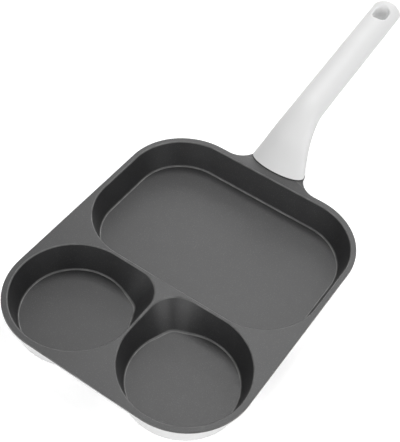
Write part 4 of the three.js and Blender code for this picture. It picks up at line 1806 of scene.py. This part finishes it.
@dataclass
class BasePlates:
    """The punched steel plates in the cups' feet, with the casting's metal in their holes.

    Attributes:
        casting: The casting that holds the plates.
        hole: Diameter of a hole.
        pitch: Distance of the holes.
        border: Plain border inside a plate's edge.
        stud_gap: Gap round the metal in a hole.
        stud_depth: How far that metal lies below the plate's face.
        edge: Bevel of a plate's edge.
        sides: Sides of a hole.
        steep: A face whose normal's height is below this belongs to a plate's side.
        punch: Length of the punch, in plate thicknesses.
        crease: Edges sharper than this stay sharp, in degrees.
    """

    casting: Casting
    hole: float = 3.2 * MM
    pitch: float = 8 * MM
    border: float = 5 * MM
    stud_gap: float = 0.08 * MM
    stud_depth: float = 0.12 * MM
    edge: float = 0.2 * MM
    sides: int = 14
    steep: float = 0.5
    punch: float = 4.0
    crease: float = 30

    def blank(self, name: str, well: str) -> Piece:
        """Makes a plate before it is punched.

        Args:
            name: The object's name.
            well: The well above the plate.

        Returns:
            The blank.
        """
        casting, edge = self.casting, self.edge
        full, drawn = casting.plate_outline(well, 0), casting.plate_outline(well, -edge)
        top = casting.plate_thickness
        return loft(name, [ring_at(drawn, 0), ring_at(full, edge), ring_at(full, top)])

    def punch_tree(self, made_of: bpy.types.Material, leaves: Pressing, blank: Piece) -> SizeTree:
        """Builds the tree that punches a plate in staggered rows, or fills its holes.

        Args:
            made_of: The material of what the tree leaves.
            leaves: The plate or the studs.
            blank: The plate that is punched, for the size of the grid.

        Returns:
            The tree.
        """
        span = max(blank.dimensions)
        count = 2 * math.ceil(span / self.pitch) + 1
        row = self.pitch * math.sqrt(3) / 2
        thickness = self.casting.plate_thickness
        made = SizeTree(f"punched_{leaves.name.lower()}", {
            "Hole radius": self.hole / 2,
            "Stud radius": self.hole / 2 - self.stud_gap,
            "Stud height": thickness + self.casting.gap - self.stud_depth,
            "Stud middle": (thickness + self.casting.gap + self.stud_depth) / 2,
            "Plate middle": thickness / 2,
            "Pitch": self.pitch,
            "Row": row,
            "Border": self.border,
            "Through": self.punch * thickness,
            "Across": (count - 1) * self.pitch,
            "Along": (count - 1) * row,
            "Count": count,
            "Sides": self.sides,
            "Studs": leaves.value,
        }, made_of)
        tree, size = made.tree, made.given

        # Staggered rows about the plate's middle.
        grid = add_node(tree, "GeometryNodeMeshGrid", {
            "Size X": size["Across"],
            "Size Y": size["Along"],
            "Vertices X": size["Count"],
            "Vertices Y": size["Count"],
        })
        at = add_node(tree, "GeometryNodeInputPosition")
        place = add_node(tree, "ShaderNodeSeparateXYZ", {0: at}).outputs
        rows = add_node(tree, "ShaderNodeMath", {0: place["Y"], 1: size["Row"]}, operation="DIVIDE")
        nearest = add_node(tree, "ShaderNodeMath", {0: rows}, operation="ROUND")
        odd = add_node(tree, "ShaderNodeMath", {0: nearest, 1: 1.0}, operation="PINGPONG")
        half = add_node(tree, "ShaderNodeMath", {0: size["Pitch"], 1: 0.5}, operation="MULTIPLY")
        shift = add_node(tree, "ShaderNodeMath", {0: odd, 1: half}, operation="MULTIPLY")
        box = add_node(tree, "GeometryNodeBoundBox", {"Geometry": size["Geometry"]})
        ends = add_node(tree, "ShaderNodeVectorMath", {0: box.outputs["Min"], 1: box.outputs["Max"]})
        middle = add_node(tree, "ShaderNodeVectorMath", {0: ends, "Scale": 0.5}, operation="SCALE")
        aside = add_node(tree, "ShaderNodeCombineXYZ", {"X": shift})
        offset = add_node(tree, "ShaderNodeVectorMath", {0: middle, 1: aside})
        staggered = add_node(tree, "GeometryNodeSetPosition", {"Geometry": grid, "Offset": offset})

        # Only points over the plate and clear of its border are punched.
        normal = add_node(tree, "GeometryNodeInputNormal")
        upright = add_node(tree, "ShaderNodeSeparateXYZ", {0: normal}).outputs
        steep = add_node(tree, "ShaderNodeMath", {0: upright["Z"]}, operation="ABSOLUTE")
        is_side = add_node(tree, "FunctionNodeCompare", {"A": steep, "B": self.steep}, operation="LESS_THAN")
        side = add_node(tree, "GeometryNodeSeparateGeometry", {
            "Geometry": size["Geometry"],
            "Selection": is_side,
        }, domain="FACE")
        away = add_node(tree, "GeometryNodeProximity", {"Geometry": side}, target_element="FACES")
        inside = add_node(tree, "FunctionNodeCompare", {
            "A": away.outputs["Distance"],
            "B": size["Border"],
        }, operation="GREATER_THAN")
        over = add_node(tree, "GeometryNodeRaycast", {
            "Target Geometry": size["Geometry"],
            "Ray Direction": (0.0, 0.0, -1.0),
        })
        hit = over.outputs["Is Hit"]
        punched = add_node(tree, "FunctionNodeBooleanMath", {0: inside, 1: hit}, operation="AND")
        points = add_node(tree, "GeometryNodeMeshToPoints", {"Mesh": staggered, "Selection": punched})

        # The holes are cut by one punch at each point, or each point gets a stud.
        tool = add_node(tree, "GeometryNodeMeshCylinder", {
            "Vertices": size["Sides"],
            "Radius": size["Hole radius"],
            "Depth": size["Through"],
        })
        tools = add_node(tree, "GeometryNodeInstanceOnPoints", {"Points": points, "Instance": tool})
        plate = add_node(
            tree, "GeometryNodeMeshBoolean", {"Mesh 1": size["Geometry"], "Mesh 2": tools},
            operation="DIFFERENCE", solver="MANIFOLD")
        peg = add_node(tree, "GeometryNodeMeshCylinder", {
            "Vertices": size["Sides"],
            "Radius": size["Stud radius"],
            "Depth": size["Stud height"],
        })
        lift = add_node(
            tree, "ShaderNodeMath", {0: size["Stud middle"], 1: size["Plate middle"]}, operation="SUBTRACT")
        raised = add_node(tree, "ShaderNodeCombineXYZ", {"Z": lift})
        seated = add_node(tree, "GeometryNodeSetPosition", {"Geometry": points, "Offset": raised})
        pegs = add_node(tree, "GeometryNodeInstanceOnPoints", {"Points": seated, "Instance": peg})
        which = add_node(tree, "ShaderNodeMath", {0: size["Studs"], 1: 0.5}, operation="GREATER_THAN")
        made.close(add_node(tree, "GeometryNodeSwitch", {"Switch": which, "False": plate, "True": pegs}))
        return made

    def build(self) -> dict[str, tuple[Piece, Piece]]:
        """Makes each plate and the studs in its holes.

        Returns:
            The plate and its studs, by the well above them.
        """
        steel, aluminium = BRUSHED_STEEL.material(), CAST_ALUMINIUM.material()
        made = {}
        for well in self.casting.outlines(0, 0):
            plate, studs = self.blank(f"steel_plate_{well}", well), self.blank(f"plate_studs_{well}", well)
            bpy.context.view_layer.update()
            self.punch_tree(steel, Pressing.PLATE, plate).run(plate)
            self.punch_tree(aluminium, Pressing.STUDS, studs).run(studs)
            made[well] = (plate, studs)
        return made

    def dress(self, pieces: dict[str, tuple[Piece, Piece]]) -> None:
        """Sets the plates and studs on the body.

        Args:
            pieces: The plate and its studs, by the well above them.
        """
        for well, (plate, studs) in pieces.items():
            shade(plate, self.crease)
            shade(studs, self.crease)
            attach(plate, BODY)
            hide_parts(f"base_plate_{well}")
            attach(studs, BODY)


@dataclass
class SoftBox:
    """A soft studio lamp.

    Attributes:
        name: The lamp's name.
        place: Where it hangs.
        aim: What it looks at.
        size: Its width and height.
        radiance: Its brightness, where 1 is that of a white wall.
    """

    name: str
    place: tuple[float, float, float]
    aim: tuple[float, float, float]
    size: tuple[float, float]
    radiance: float

    def build(self) -> Piece:
        """Hangs the lamp.

        Returns:
            The lamp.
        """
        data = bpy.data.lights.new(self.name, "AREA")
        data.shape = "RECTANGLE"
        data.size, data.size_y = self.size
        data.energy = self.radiance * math.pi * self.size[0] * self.size[1]
        lamp = bpy.data.objects.new(self.name, data)
        lamp.location = self.place
        lamp.rotation_euler = (Vector(self.aim) - Vector(self.place)).to_track_quat("-Z", "Y").to_euler()
        bpy.context.scene.collection.objects.link(lamp)
        return lamp


@dataclass
class Studio:
    """The plain white studio: floor, daylight tent, soft lamps and the camera.

    Attributes:
        floor_size: Side of the floor.
        tent: Brightness of the white tent as a light.
        white: Its brightness as seen and mirrored, 1 for white.
        tent_colour: Its colour.
        floor_colour: The floor's paint.
        floor_glow: Light added to the floor as it is seen, so that it reads white out of the shadow.
        floor_near: Distance from the pan up to which that light stays even.
        floor_far: Distance at which the floor has faded into the white round it.
        azimuth: The camera's turn about the pan.
        elevation: Its height above the horizon.
        roll: Its roll.
        camera: Its place.
        focal_pixels: The focal length in pixels of the photo.
        image: The photo's width and height in pixels.
        sensor: The sensor's longer side, in millimetres.
        clip: The nearest and the farthest distance that the camera shows.
        LAMPS: The soft lamps round the pan.
    """

    floor_size: float = 8.0
    tent: float = 0.06
    white: float = 1.0
    tent_colour: str = "#ffffff"
    floor_colour: str = "#f2f2f2"
    floor_glow: float = 0.46
    floor_near: float = 0.6
    floor_far: float = 1.6
    azimuth: float = math.radians(28.7425)
    elevation: float = math.radians(48.6508)
    roll: float = math.radians(7.2744)
    camera: tuple[float, float, float] = (0.21598, -0.38119, 0.57536)
    focal_pixels: float = 965.4
    image: tuple[int, int] = (400, 442)
    sensor: float = 36.0
    clip: tuple[float, float] = (0.01, 50.0)

    LAMPS: ClassVar[tuple[SoftBox, ...]] = (
        SoftBox("behind_high", (-0.31, 0.85, 1.78), (0, 0, 0), (0.8, 0.7), 9.7),
        SoftBox("behind_low", (-0.6, 1.8, 0.95), (0, 0, 0), (1.8, 0.8), 3.8),
        SoftBox("right", (1.6, -0.2, 0.7), (0, 0.1, 0), (1.0, 1.2), 4.5),
        SoftBox("front_low", (0.0, -1.6, 0.45), (0, 0, 0), (1.8, 0.7), 3.7),
        SoftBox("front_left", (-1.0, -1.2, 1.0), (0, 0, 0), (1.0, 0.8), 2.2),
    )

    def shown(self, tree: bpy.types.NodeTree) -> bpy.types.Node:
        """Tells the rays that show the background from those that only light the pan.

        Args:
            tree: The tree of the floor or the world.

        Returns:
            A node that gives 1 to the eye and in reflections, else 0.
        """
        path = add_node(tree, "ShaderNodeLightPath").outputs
        seen = path["Is Camera Ray"]
        for ray in ("Is Glossy Ray", "Is Transmission Ray"):
            seen = add_node(tree, "ShaderNodeMath", {0: seen, 1: path[ray]}, operation="MAXIMUM")
        return seen

    def build_floor(self) -> Piece:
        """Lays the floor, white to the camera where no shadow falls.

        Returns:
            The floor.
        """
        half = self.floor_size / 2
        corners = [(-half, -half, 0), (half, -half, 0), (half, half, 0), (-half, half, 0)]
        floor = mesh_object("studio_floor", corners, [(0, 1, 2, 3)])
        paint = bpy.data.materials.new("white_floor_paint")
        paint.use_nodes = True
        tree = paint.node_tree
        tree.nodes.clear()
        matt = add_node(tree, "ShaderNodeBsdfDiffuse", {"Color": linear(self.floor_colour)})
        place = add_node(tree, "ShaderNodeTexCoord").outputs["Object"]
        away = add_node(tree, "ShaderNodeVectorMath", {0: place}, operation="LENGTH").outputs["Value"]
        added = add_node(tree, "ShaderNodeMapRange", {
            "Value": away,
            "From Min": self.floor_near,
            "From Max": self.floor_far,
            "To Min": self.floor_glow,
            "To Max": self.white,
        })
        amount = add_node(tree, "ShaderNodeMath", {0: self.shown(tree), 1: added}, operation="MULTIPLY")
        glow = add_node(tree, "ShaderNodeEmission", {"Strength": amount})
        both = add_node(tree, "ShaderNodeAddShader", {0: matt, 1: glow})
        add_node(tree, "ShaderNodeOutputMaterial", {"Surface": both})
        floor.data.materials.append(paint)
        return floor

    def build_tent(self) -> None:
        """Sets the world: white to the eye and in reflections, softer as a light."""
        world = bpy.data.worlds.new("white_tent")
        world.use_nodes = True
        tree = world.node_tree
        tree.nodes.clear()
        strength = add_node(tree, "ShaderNodeMapRange", {
            "Value": self.shown(tree),
            "To Min": self.tent,
            "To Max": self.white,
        })
        sky = add_node(tree, "ShaderNodeBackground", {
            "Color": linear(self.tent_colour),
            "Strength": strength,
        })
        add_node(tree, "ShaderNodeOutputWorld", {"Surface": sky})
        bpy.context.scene.world = world

    def build_camera(self) -> Piece:
        """Sets the camera at the photo's viewing angle.

        Returns:
            The camera.
        """
        a, e = self.azimuth, self.elevation
        back = Vector((math.sin(a) * math.cos(e), -math.cos(a) * math.cos(e), math.sin(e)))
        right = (-back).cross(Vector((0, 0, 1))).normalized()
        up = right.cross(-back)
        rolled_right = math.cos(self.roll) * right + math.sin(self.roll) * up
        rolled_up = -math.sin(self.roll) * right + math.cos(self.roll) * up
        data = bpy.data.cameras.new("product_camera")
        data.sensor_width = self.sensor
        data.lens = self.focal_pixels / max(self.image) * self.sensor
        data.clip_start, data.clip_end = self.clip
        camera = bpy.data.objects.new("product_camera", data)
        turn = Matrix((rolled_right, rolled_up, back)).transposed().to_4x4()
        camera.matrix_world = Matrix.Translation(self.camera) @ turn
        bpy.context.scene.collection.objects.link(camera)
        bpy.context.scene.camera = camera
        return camera

    def build(self) -> None:
        """Sets up the whole studio."""
        self.build_floor()
        self.build_tent()
        self.build_camera()
        for lamp in self.LAMPS:
            lamp.build()
        bpy.context.scene.view_settings.view_transform = "Standard"


def report(pieces: Iterable[Piece]) -> None:
    """Logs the size of each piece.

    Args:
        pieces: The finished pieces.
    """
    for piece in pieces:
        faces = sum(len(face.vertices) - 2 for face in piece.data.polygons)
        LOG.info("%s: %d triangles", piece.name, faces)


def main() -> None:
    """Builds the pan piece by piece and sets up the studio."""
    logging.basicConfig(level=logging.INFO, format="%(name)s: %(message)s")
    handle = Handle()
    casting = Casting()
    pan = casting.build(handle)
    casting.dress(pan)
    report([pan])
    grips = handle.build()
    handle.dress(grips)
    report(grips.values())
    fasteners = handle.fixing.build()
    handle.fixing.dress(fasteners)
    report(fasteners.values())
    plates = BasePlates(casting)
    pressed = plates.build()
    plates.dress(pressed)
    report(piece for pair in pressed.values() for piece in pair)
    Studio().build()


if __name__ == "__main__":
    main()
